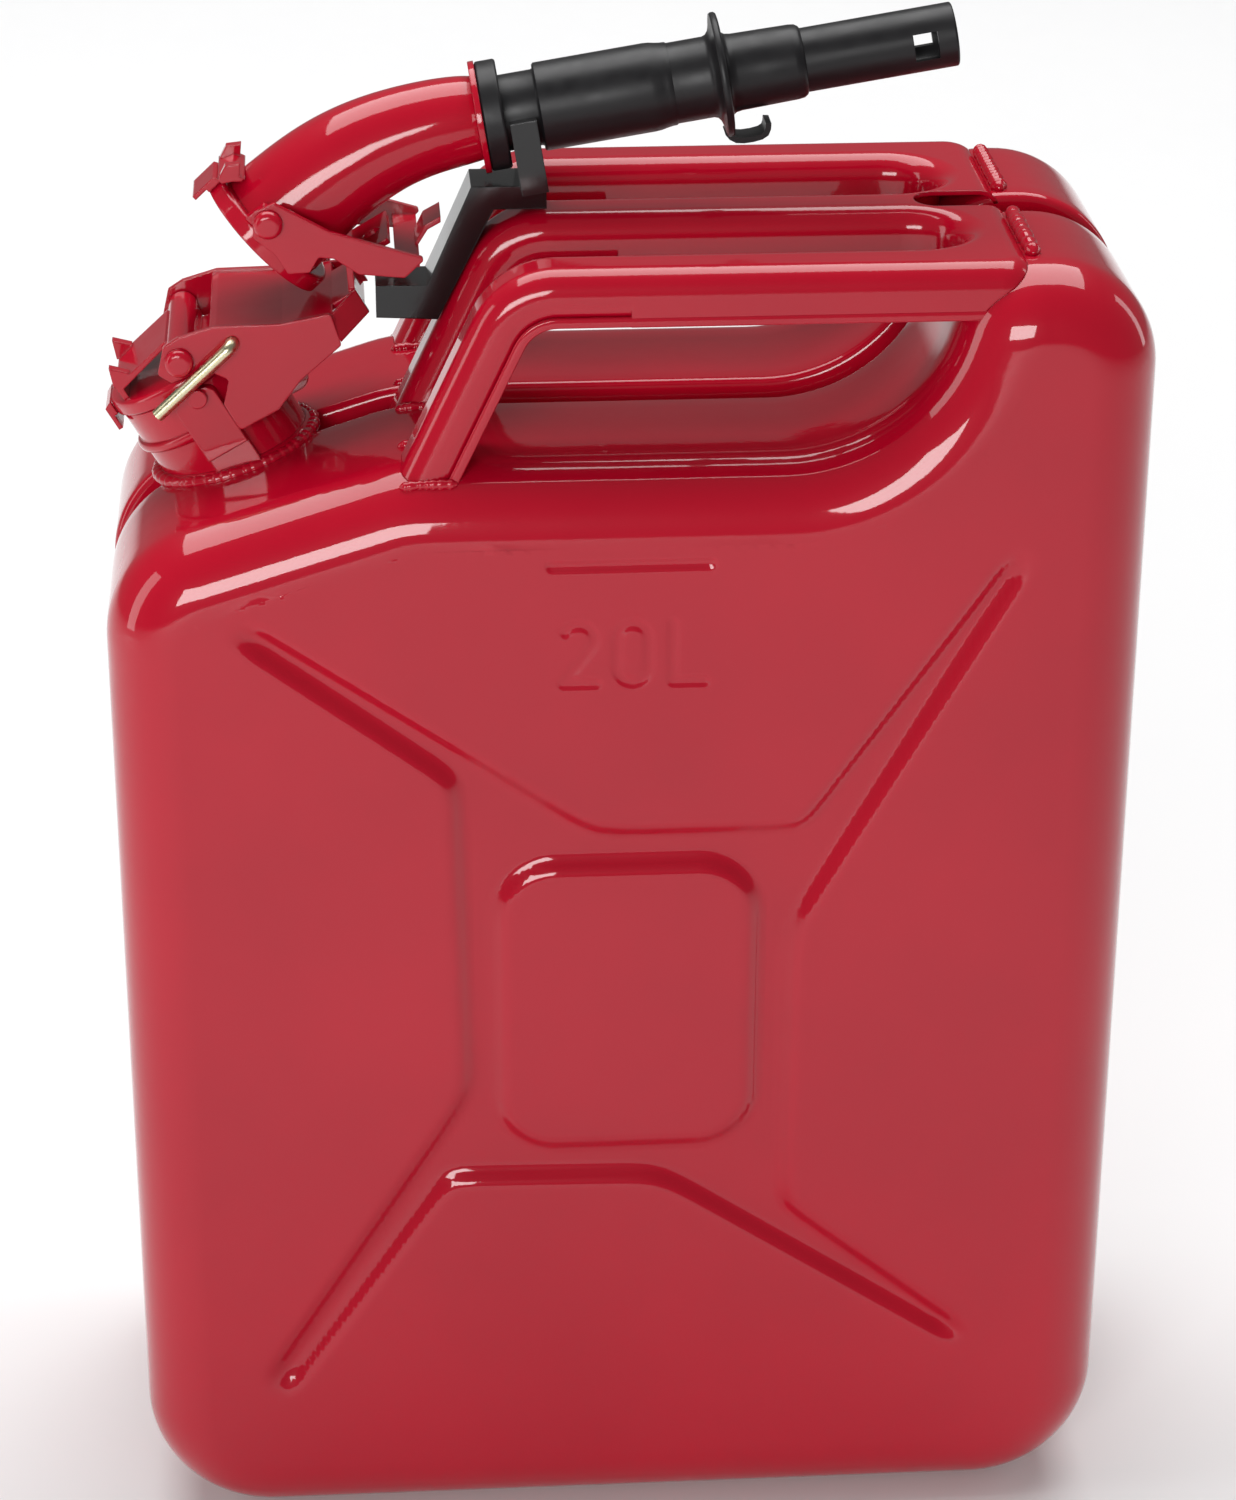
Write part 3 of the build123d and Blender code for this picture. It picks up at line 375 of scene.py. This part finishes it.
def smooth(t):
    """Ramp from 0 to 1 with level ends."""
    t = np.clip(t, 0, 1)
    return t * t * (3 - 2 * t)


def panel_distance(points, corners):
    """Distance outside a raised panel bounded by three lines."""
    lines = [to_line(points, start, end) for start, end in zip(corners, corners[1:])]
    return soft_max(np.array([-line for line in lines]), 2.2)


def arm_room(points, root, tip):
    """Distance short of an arm's tip, measured along the arm."""
    root, tip = np.array(root, float), np.array(tip, float)
    return (tip - points) @ (tip - root) / np.linalg.norm(tip - root)


def pressing_depth(points, sizes):
    """Depth of the cross pressing at points on a face, its arms fading out to their tips."""
    inside = np.min([panel_distance(points, corners) for corners in PANELS], axis=0)
    room = np.min([arm_room(points, root, tip) for root, tip in ARMS], axis=0)
    x, z, half_x, half_z, radius = SQUARE
    dx = np.abs(points[:, 0] - x) - half_x + radius
    dz = np.abs(points[:, 1] - z) - half_z + radius
    square = np.hypot(np.maximum(dx, 0), np.maximum(dz, 0)) + np.minimum(np.maximum(dx, dz), 0)
    square -= radius
    ramp = sizes.press_ramp
    depth = sizes.press_depth * smooth(inside / ramp + 0.2) * smooth(square / ramp + 0.5)
    return depth * smooth(room / 14)


def stroke_distance(points, strokes):
    """Distance of points from a set of open lines."""
    best = np.full(len(points), 1e9)
    for line in strokes:
        for start, end in zip(line, line[1:]):
            start, end = np.array(start, float), np.array(end, float)
            along = end - start
            share = np.clip(((points - start) @ along) / (along @ along), 0, 1)
            best = np.minimum(best, np.linalg.norm(points - start - share[:, None] * along, axis=1))
    return best


def arc_line(centre, radius, first, last, steps=8):
    """Points along an arc, angles in degrees."""
    return [(centre[0] + radius * cos(radians(first + (last - first) * k / steps)),
             centre[1] + radius * sin(radians(first + (last - first) * k / steps)))
            for k in range(steps + 1)]


MARK_LOW, MARK_HIGH = 332.0, 353.0
FILL_LINE = ((-26.5, 373.7), (25.5, 373.7))


def mark_depth(points):
    """Depth of the fill line and of the capacity mark under it."""
    r = 5.2
    two = arc_line((-17.5, MARK_HIGH - r), r, 150, -30) + [(-22.7, MARK_LOW), (-11.8, MARK_LOW)]
    nought = (arc_line((0.3, MARK_HIGH - r), r, 180, 0) + arc_line((0.3, MARK_LOW + r), r, 0, -180)
              + [(0.3 - r, MARK_HIGH - r)])
    letter = [(13.5, MARK_HIGH), (13.5, MARK_LOW), (24.0, MARK_LOW)]
    mark = 0.5 * smooth(1.5 - stroke_distance(points, [two, nought, letter]) / 1.6)
    return mark + 0.9 * smooth(1.6 - stroke_distance(points, [FILL_LINE]) / 1.3)


def sheet_drift(points):
    """The slight unevenness of a large pressed sheet."""
    x, z = points[:, 0], points[:, 1]
    return 0.12 * np.sin(x / 41 + 0.7) * np.sin(z / 57 + 1.9) + 0.05 * np.sin(x / 17 + z / 29)


NECK_TILT = radians(30)
NECK_U, NECK_R, NECK_WALL = 82.0, 25.5, 1.5
NECK_ROOT, NECK_RIM = 372.0, 431.5


def neck_frame(points):
    """Points measured along the neck's tilt: u across, y, and a up its axis."""
    x, y, z = np.asarray(points, float).T
    return x * cos(NECK_TILT) + z * sin(NECK_TILT), y, z * cos(NECK_TILT) - x * sin(NECK_TILT)


def neck_place(u, y, a):
    """The reverse of neck_frame for one point."""
    return (u * cos(NECK_TILT) - a * sin(NECK_TILT), y, u * sin(NECK_TILT) + a * cos(NECK_TILT))


def in_neck(points):
    """Whether points of the skin lie where the neck goes through it."""
    u, y, a = neck_frame(points)
    return (np.hypot(u - NECK_U, y) < NECK_R - NECK_WALL / 2) & (a > NECK_ROOT) & (a < NECK_RIM)


def half_profile(sizes):
    """Section of a half from the middle of the groove to the face, as (inset, |y|) points."""
    depth, half, edge = sizes.groove_depth, sizes.groove_half, sizes.face_edge
    root, lip = 2.0, 3.0
    profile = [(depth, 0.0), (depth, half - root)]
    profile += [(depth - root + root * cos(a), half - root + root * sin(a))
                for a in np.radians([22, 45, 68, 90])]
    profile += [(lip, half)]
    profile += [(lip - lip * sin(a), half + lip - lip * cos(a)) for a in np.radians(range(15, 91, 15))]
    profile += [(0.0, y) for y in np.linspace(half + lip, HALF_WIDTH - edge, 8)[1:]]
    profile += [(edge - edge * cos(a), HALF_WIDTH - edge + edge * sin(a))
                for a in np.radians(np.arange(6, 91, 6))]
    return profile


def build_half(side, sizes):
    """One pressed half of the tank, its face carrying the cross pressing and the marks."""
    path, normals = tank_outline(sizes)
    profile = half_profile(sizes)
    count = len(path)
    points = []
    for inset, depth in profile:
        ring = path - normals * inset
        points.append(np.column_stack([ring[:, 0], np.full(count, side * depth), ring[:, 1]]))
    points = np.concatenate(points)
    flip = side == FAR
    faces = ring_faces(len(profile), count, flip=flip)
    edge = path - normals * sizes.face_edge
    step = sizes.grid
    xs = np.arange(edge[:, 0].min(), edge[:, 0].max(), step)
    zs = np.arange(edge[:, 1].min(), edge[:, 1].max(), step)
    grid = np.array([(x, z) for z in zs for x in xs])
    fine = np.array([(x, z) for z in np.arange(MARK_LOW - 4, FILL_LINE[0][1] + 4, 0.9)
                     for x in np.arange(-30, 30, 0.9)])
    in_mark = ((np.abs(grid[:, 0]) < 30.5) & (grid[:, 1] > MARK_LOW - 4.5)
               & (grid[:, 1] < FILL_LINE[0][1] + 4.5))
    grid = np.concatenate([grid[~in_mark], fine])
    seed = np.concatenate([edge, grid])
    loop = [list(range(count))]
    flat, _, triangles, source, _, _ = delaunay_2d_cdt(
        [Vector(p) for p in seed], [], loop, 1, 1e-6)
    flat = np.array(flat)
    on_edge = np.array([bool(origin) and min(origin) < count for origin in source])
    relief = pressing_depth(flat, sizes) + sheet_drift(flat)
    relief += mark_depth(np.column_stack([-side * flat[:, 0], flat[:, 1]]))
    margin = np.min([np.abs(flat[:, 0] - edge[:, 0].min()), np.abs(flat[:, 0] - edge[:, 0].max()),
                     flat[:, 1] - edge[:, 1].min()], axis=0)
    relief *= smooth(margin / 12)
    relief[on_edge] = 0
    face = np.column_stack([flat[:, 0], side * (HALF_WIDTH - relief), flat[:, 1]])
    index = {}
    last_ring = (len(profile) - 1) * count
    extra = []
    for i, origin in enumerate(source):
        if on_edge[i]:
            index[i] = last_ring + min(origin)
        else:
            index[i] = len(points) + len(extra)
            extra.append(face[i])
    points = np.concatenate([points, np.array(extra)])
    for triangle in triangles:
        corners = [index[i] for i in triangle]
        faces.append(corners if flip else corners[::-1])
    middles = np.array([points[list(corners)].mean(axis=0) for corners in faces])
    faces = [corners for corners, hidden in zip(faces, in_neck(middles)) if not hidden]
    label = "near" if side == NEAR else "far"
    add_mesh(f"{label}_tank_skin", points, faces, "red_enamel", "tank",
             [f"tank_half_{label}"], sharp=60)


# ---- welds -------------------------------------------------------------------------
NECK_WELD_R = 27.2                  # bead round the foot of the neck
WELDED_BARS = (-60.0, 0.0, 60.0)    # Y of each leg of the handle
LEG_EDGES = (-12.6, 12.6)           # where a leg's edges stand from its middle


def bead_mesh(path, radius, pitch, seed, around=12, spacing=0.45):
    """Points and faces of a weld bead laid in overlapping ripples along a path."""
    path = np.asarray(path, float)
    lengths = np.concatenate([[0], np.cumsum(np.linalg.norm(np.diff(path, axis=0), axis=1))])
    count = max(4, int(lengths[-1] / spacing))
    at = np.linspace(0, lengths[-1], count)
    spine = np.column_stack([np.interp(at, lengths, path[:, k]) for k in range(3)])
    draw = np.random.default_rng(seed)
    steps = np.arange(0, lengths[-1] + pitch, pitch)
    sway = np.interp(at, steps, draw.uniform(-1, 1, int(lengths[-1] / pitch) + 2)[:len(steps)])
    ripple = 1 - 0.22 * np.mod(at / pitch + 0.3 * sway, 1.0) ** 1.5 + 0.1 * sway
    end = np.sqrt(np.clip(np.minimum(at, lengths[-1] - at) / radius, 0.02, 1))
    radii = radius * ripple * end
    points = []
    for i, centre in enumerate(spine):
        along = spine[min(i + 1, count - 1)] - spine[max(i - 1, 0)]
        along /= np.linalg.norm(along)
        side = np.cross(along, (0.1, 0.2, 1.0))
        side /= np.linalg.norm(side)
        up = np.cross(side, along)
        for angle in np.linspace(0, 2 * pi, around, endpoint=False):
            points.append(centre + radii[i] * (cos(angle) * side + sin(angle) * up))
    faces = ring_faces(count, around)
    faces += [list(range(around))[::-1], [(count - 1) * around + k for k in range(around)]]
    return points, faces


def add_beads(name, paths, radius, pitch, body, replaces=()):
    """Several weld beads as one piece."""
    points, faces = [], []
    for seed, path in enumerate(paths):
        more, rings = bead_mesh(path, radius, pitch, seed)
        faces += [[index + len(points) for index in ring] for ring in rings]
        points += more
    return add_mesh(name, points, faces, "red_enamel", body, replaces, sharp=70)


def tank_top(x, y, sizes):
    """Height of the tank's top surface over a point."""
    path, normals = tank_outline(sizes, 3.0, radians(3))
    depth = abs(y) - (HALF_WIDTH - sizes.face_edge)
    inset = sizes.face_edge - sqrt(sizes.face_edge ** 2 - depth ** 2) if depth > 0 else 0.0
    ring = path - normals * inset
    ring = ring[(normals[:, 1] > 0.05) & (ring[:, 0] < 105)]
    order = np.argsort(ring[:, 0])
    return float(np.interp(x, ring[order, 0], ring[order, 1]))


def shoulder_a(u, sizes):
    """Height up the neck's axis where the shoulder passes a given u."""
    rise = tan(sizes.shoulder_pitch)
    return (sizes.shoulder_height + rise * (HALF_LENGTH + u * cos(NECK_TILT)) - u * sin(NECK_TILT)) / (
        cos(NECK_TILT) + rise * sin(NECK_TILT))


class BuildWelds(bpy.types.Operator):
    """Lay the weld beads of the handle and the neck"""

    bl_idname = "safety_can.welds"
    bl_label = "Welds"

    def execute(self, context):
        sizes = context.scene.can_tank
        rear = [[(131.0, side * y, HUMP_TOP + 0.9) for y in np.linspace(11.5, 58, 20)]
                for side in (NEAR, FAR)]
        add_beads("rear_handle_welds", rear, 2.7, 3.1, "tank", ["handle_beads"])
        feet = []
        for bar in WELDED_BARS:
            for edge in LEG_EDGES:
                y = bar + edge
                if abs(y) < 10:
                    continue
                feet.append([(x, y, tank_top(x, y, sizes) + 0.2) for x in np.linspace(-75, -56, 12)])
        add_beads("leg_foot_welds", feet, 1.9, 2.7, "tank")
        ring = []
        for angle in np.linspace(0, 2 * pi, 73):
            u = NECK_U + NECK_WELD_R * cos(angle)
            y = NECK_WELD_R * sin(angle)
            ring.append(neck_place(u, y, shoulder_a(u, sizes) + 0.4))
        add_beads("neck_base_weld", [ring], 2.3, 3.4, "tank")
        return {"FINISHED"}


# ---- handle lips -----------------------------------------------------------------------
BAR_PITCH, BAR_WIDTH, BAR_DEPTH, BAR_STEEL = 60.0, 25.0, 18.0, 1.5
BEND_X, BEND_R, LEG_PITCH = -42.4, 30.0, radians(64.5)
LIP_HEIGHT, LIP_WIDTH, LIP_ROUND = 3.6, 2.0, 6


def bar_line(depth, y, sizes, rear_x):
    """Line at a depth under a bar's top, from the rear plate round the bend to the leg's foot."""
    centre = (BEND_X + BEND_R * tan(LEG_PITCH / 2), HANDLE_TOP - BEND_R)
    radius = BEND_R - depth
    line = [(x, HANDLE_TOP - depth) for x in np.linspace(rear_x, centre[0], 12)]
    line += [(centre[0] + radius * cos(angle), centre[1] + radius * sin(angle))
             for angle in np.linspace(pi / 2, pi / 2 + LEG_PITCH, 12)[1:]]
    x, z = line[-1]
    while z > tank_top(x, y, sizes):
        x -= 4 * cos(LEG_PITCH)
        z -= 4 * sin(LEG_PITCH)
        line.append((x, z))
    return line


def lip_mesh(line, y):
    """Rounded lip along a line at a given y."""
    line = np.array(line)
    section = []
    for k in range(4 * LIP_ROUND):
        angle = 2 * pi * k / (4 * LIP_ROUND)
        section.append((LIP_WIDTH / 2 * cos(angle),
                        sin(angle) * LIP_WIDTH / 2
                        + (LIP_HEIGHT - LIP_WIDTH) / 2 * np.sign(sin(angle))))
    points = []
    for i, (x, z) in enumerate(line):
        along = line[min(i + 1, len(line) - 1)] - line[max(i - 1, 0)]
        along /= np.linalg.norm(along)
        for across, up in section:
            points.append((x - along[1] * up, y + across, z + along[0] * up))
    ring = len(section)
    faces = ring_faces(len(line), ring)
    faces += [list(range(ring))[::-1], [(len(line) - 1) * ring + k for k in range(ring)]]
    return points, faces


class BuildHandleLips(bpy.types.Operator):
    """Roll the lower edges of the handle's bars and legs"""

    bl_idname = "safety_can.handle_lips"
    bl_label = "Handle lips"

    def execute(self, context):
        sizes = context.scene.can_tank
        points, faces = [], []
        depth = BAR_DEPTH - LIP_HEIGHT / 2 + 0.1
        for bar in (-BAR_PITCH, 0.0, BAR_PITCH):
            for edge in (-1, 1):
                y = bar + edge * (BAR_WIDTH - BAR_STEEL) / 2
                rear_x = 118.0 if abs(y) > BAR_PITCH else 90.0
                more, rings = lip_mesh(bar_line(depth, y, sizes, rear_x), y)
                faces += [[index + len(points) for index in ring] for ring in rings]
                points += more
        add_mesh("handle_edge_lips", points, faces, "red_enamel", "tank", sharp=70)
        return {"FINISHED"}


# ---- nozzle --------------------------------------------------------------------------
NOZZLE_START = np.array([-36.0, 0.0, 501.5])
NOZZLE_LEAN = radians(9.3)
SLEEVE_BORE = 10.62


def nozzle_point(s, across, up):
    """A point along the nozzle's axis, to its side and above it."""
    return NOZZLE_START + (s * cos(NOZZLE_LEAN) - up * sin(NOZZLE_LEAN), across,
                           s * sin(NOZZLE_LEAN) + up * cos(NOZZLE_LEAN))


def lathe(profile, around=96):
    """Points and faces of a closed profile turned round the nozzle's axis."""
    points = [nozzle_point(s, r * cos(angle), r * sin(angle))
              for s, r in profile for angle in np.linspace(0, 2 * pi, around, endpoint=False)]
    return points, ring_faces(len(profile), around, closed_rows=True)


def strip(outline, half, place):
    """Points and faces of an outline given thickness across the can."""
    count = len(outline)
    points = [place(a, y, b) for y in (-half, half) for a, b in outline]
    faces = [list(range(count))[::-1], [count + k for k in range(count)]]
    faces += [(k, (k + 1) % count, count + (k + 1) % count, count + k) for k in range(count)]
    return points, faces


def thick_line(line, thickness):
    """Outline of a bent strip of constant thickness, its corners rounded by chords."""
    line = np.array(line, float)
    sides = []
    for i in range(len(line)):
        along = line[min(i + 1, len(line) - 1)] - line[max(i - 1, 0)]
        along /= np.linalg.norm(along)
        sides.append(np.array([-along[1], along[0]]) * thickness / 2)
    sides = np.array(sides)
    return [tuple(p) for p in line + sides] + [tuple(p) for p in (line - sides)[::-1]]


class BuildNozzle(bpy.types.Operator):
    """Turn the nozzle's sleeve and housing"""

    bl_idname = "safety_can.nozzle"
    bl_label = "Nozzle"

    def execute(self, context):
        sleeve = [(49, SLEEVE_BORE), (49, 12.9), (49.4, 13.25), (67.2, 13.25), (68.4, 13.7),
                  (69.3, 14.8), (69.9, 16.6), (70.2, 18.6), (70.5, 20.1), (71.1, 20.5),
                  (72.2, 20.5), (72.8, 20.0),
                  (73.0, 19.0), (73.1, 15.0), (73.6, 13.6), (74.6, 12.9), (76.5, 12.6), (85, 12.45),
                  (95.6, 12.25), (97.6, 12.0), (98.7, 11.3), (99, 10.9), (99, SLEEVE_BORE)]
        points, faces = lathe(sleeve)
        turn = [(70.6, -18.5), (71.6, -20.2), (73.2, -21.4), (75.5, -21.9), (78.5, -22.0),
                (81.5, -21.7), (83.2, -20.9), (84.0, -19.4), (84.4, -17.6)]
        more, sides = strip(thick_line(turn, 1.9), 5.0, nozzle_point)
        faces += [[index + len(points) for index in side] for side in sides]
        add_mesh("nozzle_sleeve_skin", points + more, faces, "black_plastic", "sleeve",
                 ["nozzle_sleeve"], sharp=40)
        housing = [(-1, 10.5), (-1, 12.5), (10.0, 12.5), (10.5, 12.8), (10.5, 13.9), (11.1, 14.5),
                   (36, 14.5), (47.5, 14.5), (49.5, 14.35), (51.5, 13.95), (53.2, 13.7),
                   (54.6, 13.65), (55, 13.45),
                   (55, 13.35), (22, 13.35), (22, 10.5)]
        points, faces = lathe(housing)
        add_mesh("nozzle_housing_skin", points, faces, "black_plastic", "spout",
                 ["nozzle_housing"], sharp=35)
        return {"FINISHED"}


class BuildFinishes(bpy.types.Operator):
    """Make every finish"""

    bl_idname = "safety_can.finishes"
    bl_label = "Finishes"

    def execute(self, context):
        colours = context.scene.can_colours
        finishes["red_enamel"] = enamel("red_enamel", colours.red)
        finishes["red_fittings"] = enamel("red_fittings", colours.red, edge=0.0009)
        finishes["black_enamel"] = enamel("black_enamel", colours.black, 0.12, edge=0.0006)
        finishes["black_plastic"] = moulded_plastic("black_plastic", colours.plastic)
        finishes["yellow_zinc"] = plated_steel("yellow_zinc", colours.zinc, 0.28)
        finishes["bare_steel"] = plated_steel("bare_steel", (0.62, 0.62, 0.62), 0.22)
        finishes["seal_rubber"] = seal_rubber("seal_rubber")
        finishes["floor"] = studio_floor("floor")
        return {"FINISHED"}


class BuildTank(bpy.types.Operator):
    """Press the two halves of the tank"""

    bl_idname = "safety_can.tank"
    bl_label = "Tank"

    def execute(self, context):
        for side in (NEAR, FAR):
            build_half(side, context.scene.can_tank)
        return {"FINISHED"}


class DressFrame(bpy.types.Operator):
    """Give every carried-over CAD node its finish; the red and black enamels round its edges in shading
    """

    bl_idname = "safety_can.dress"
    bl_label = "CAD nodes"

    def execute(self, context):
        slots = {part["node"]: part["material_slot"] for part in frame["record"]["subparts"]}
        for name, node in frame["nodes"].items():
            finish = finishes["red_fittings" if slots[name] == "red_enamel" else slots[name]]
            node.data.materials.clear()
            node.data.materials.append(finish)
        return {"FINISHED"}


class BuildStage(bpy.types.Operator):
    """Lay the floor, and set the lights and the camera"""

    bl_idname = "safety_can.stage"
    bl_label = "Stage"

    def execute(self, context):
        lay_floor()
        set_lights(context.scene)
        set_camera(context.scene)
        return {"FINISHED"}


# ---- stage -----------------------------------------------------------------------
def lay_floor():
    """A wide sheet of white paper."""
    size = 12.0
    mesh = bpy.data.meshes.new("floor")
    mesh.from_pydata([(-size, -size, 0), (size, -size, 0), (size, size, 0), (-size, size, 0)], [],
                     [(0, 1, 2, 3)])
    floor = bpy.data.objects.new("floor", mesh)
    bpy.context.scene.collection.objects.link(floor)
    mesh.materials.append(finishes["floor"])


OVERHEAD_POWER, LEFT_POWER, RIGHT_POWER, FILL_POWER = 225, 5, 3, 62    # watts
SURROUND = 0.16                                                        # strength of the white world


def soft_box(name, place, target, size, power):
    """A rectangular studio light that looks at a point."""
    data = bpy.data.lights.new(name, "AREA")
    data.shape = "RECTANGLE"
    data.size, data.size_y = size
    data.energy = power
    lamp = bpy.data.objects.new(name, data)
    lamp.location = place
    lamp.rotation_euler = (Vector(target) - Vector(place)).to_track_quat("-Z", "Y").to_euler()
    bpy.context.scene.collection.objects.link(lamp)


def set_lights(scene):
    """Overhead box, one on each side, and a pale surround."""
    world = bpy.data.worlds.new("studio")
    scene.world = world
    world.use_nodes = True
    back = world.node_tree.nodes["Background"]
    back.inputs["Color"].default_value = (1.0, 1.0, 1.0, 1.0)
    back.inputs["Strength"].default_value = SURROUND
    centre = (0, 0, 0.25)
    soft_box("overhead", (0.0, 1.6, 4.0), (0.0, 1.6, 0.0), (4.6, 3.6), OVERHEAD_POWER)
    soft_box("left_box", (-1.7, -0.25, 0.75), centre, (0.45, 1.3), LEFT_POWER)
    soft_box("right_box", (1.9, 0.5, 0.9), centre, (0.3, 1.2), RIGHT_POWER)
    soft_box("fill", (-0.9, -3.1, 1.3), centre, (1.8, 1.0), FILL_POWER)
    scene.view_settings.view_transform = "Standard"


def set_camera(scene):
    """A long lens from a little above, as in a catalogue view."""
    data = bpy.data.cameras.new("camera")
    data.sensor_width = 36.0
    data.lens = 96.06
    data.shift_x, data.shift_y = 0.0042, 0.0368
    data.clip_end = 100
    camera = bpy.data.objects.new("camera", data)
    scene.collection.objects.link(camera)
    yaw, pitch, roll = radians(-4.187), radians(63.973), radians(0.233)
    turn = Matrix.Rotation(yaw, 4, "Z") @ Matrix.Rotation(pitch, 4, "X") @ Matrix.Rotation(roll, 4, "Z")
    camera.matrix_world = Matrix.Translation((-0.0943, -1.28185, 0.8745)) @ turn
    scene.camera = camera


class CanPanel(bpy.types.Panel):
    """Lists the builders"""

    bl_label = "Safety can"
    bl_idname = "VIEW3D_PT_safety_can"
    bl_space_type = "VIEW_3D"
    bl_region_type = "UI"
    bl_category = "Safety can"

    def draw(self, context):
        for group in (context.scene.can_tank, context.scene.can_colours):
            for name in group.__annotations__:
                self.layout.prop(group, name)
        for builder in BUILDERS:
            self.layout.operator(builder.bl_idname)


BUILDERS = (BuildFinishes, BuildStage, DressFrame, BuildTank, BuildWelds, BuildHandleLips, BuildNozzle)
GROUPS = (TankSizes, FinishColours)


def register():
    """Register every class and hang the settings on the scene."""
    for item in GROUPS + BUILDERS + (CanPanel,):
        bpy.utils.register_class(item)
    bpy.types.Scene.can_tank = PointerProperty(type=TankSizes)
    bpy.types.Scene.can_colours = PointerProperty(type=FinishColours)


def unregister():
    """Undo register."""
    del bpy.types.Scene.can_colours
    del bpy.types.Scene.can_tank
    for item in reversed(GROUPS + BUILDERS + (CanPanel,)):
        bpy.utils.unregister_class(item)


def main():
    """Build everything in order."""
    register()
    bpy.ops.safety_can.finishes()
    bpy.ops.safety_can.stage()
    bpy.ops.safety_can.dress()
    bpy.ops.safety_can.tank()
    bpy.ops.safety_can.welds()
    bpy.ops.safety_can.handle_lips()
    bpy.ops.safety_can.nozzle()


if __name__ == "__main__":
    main()
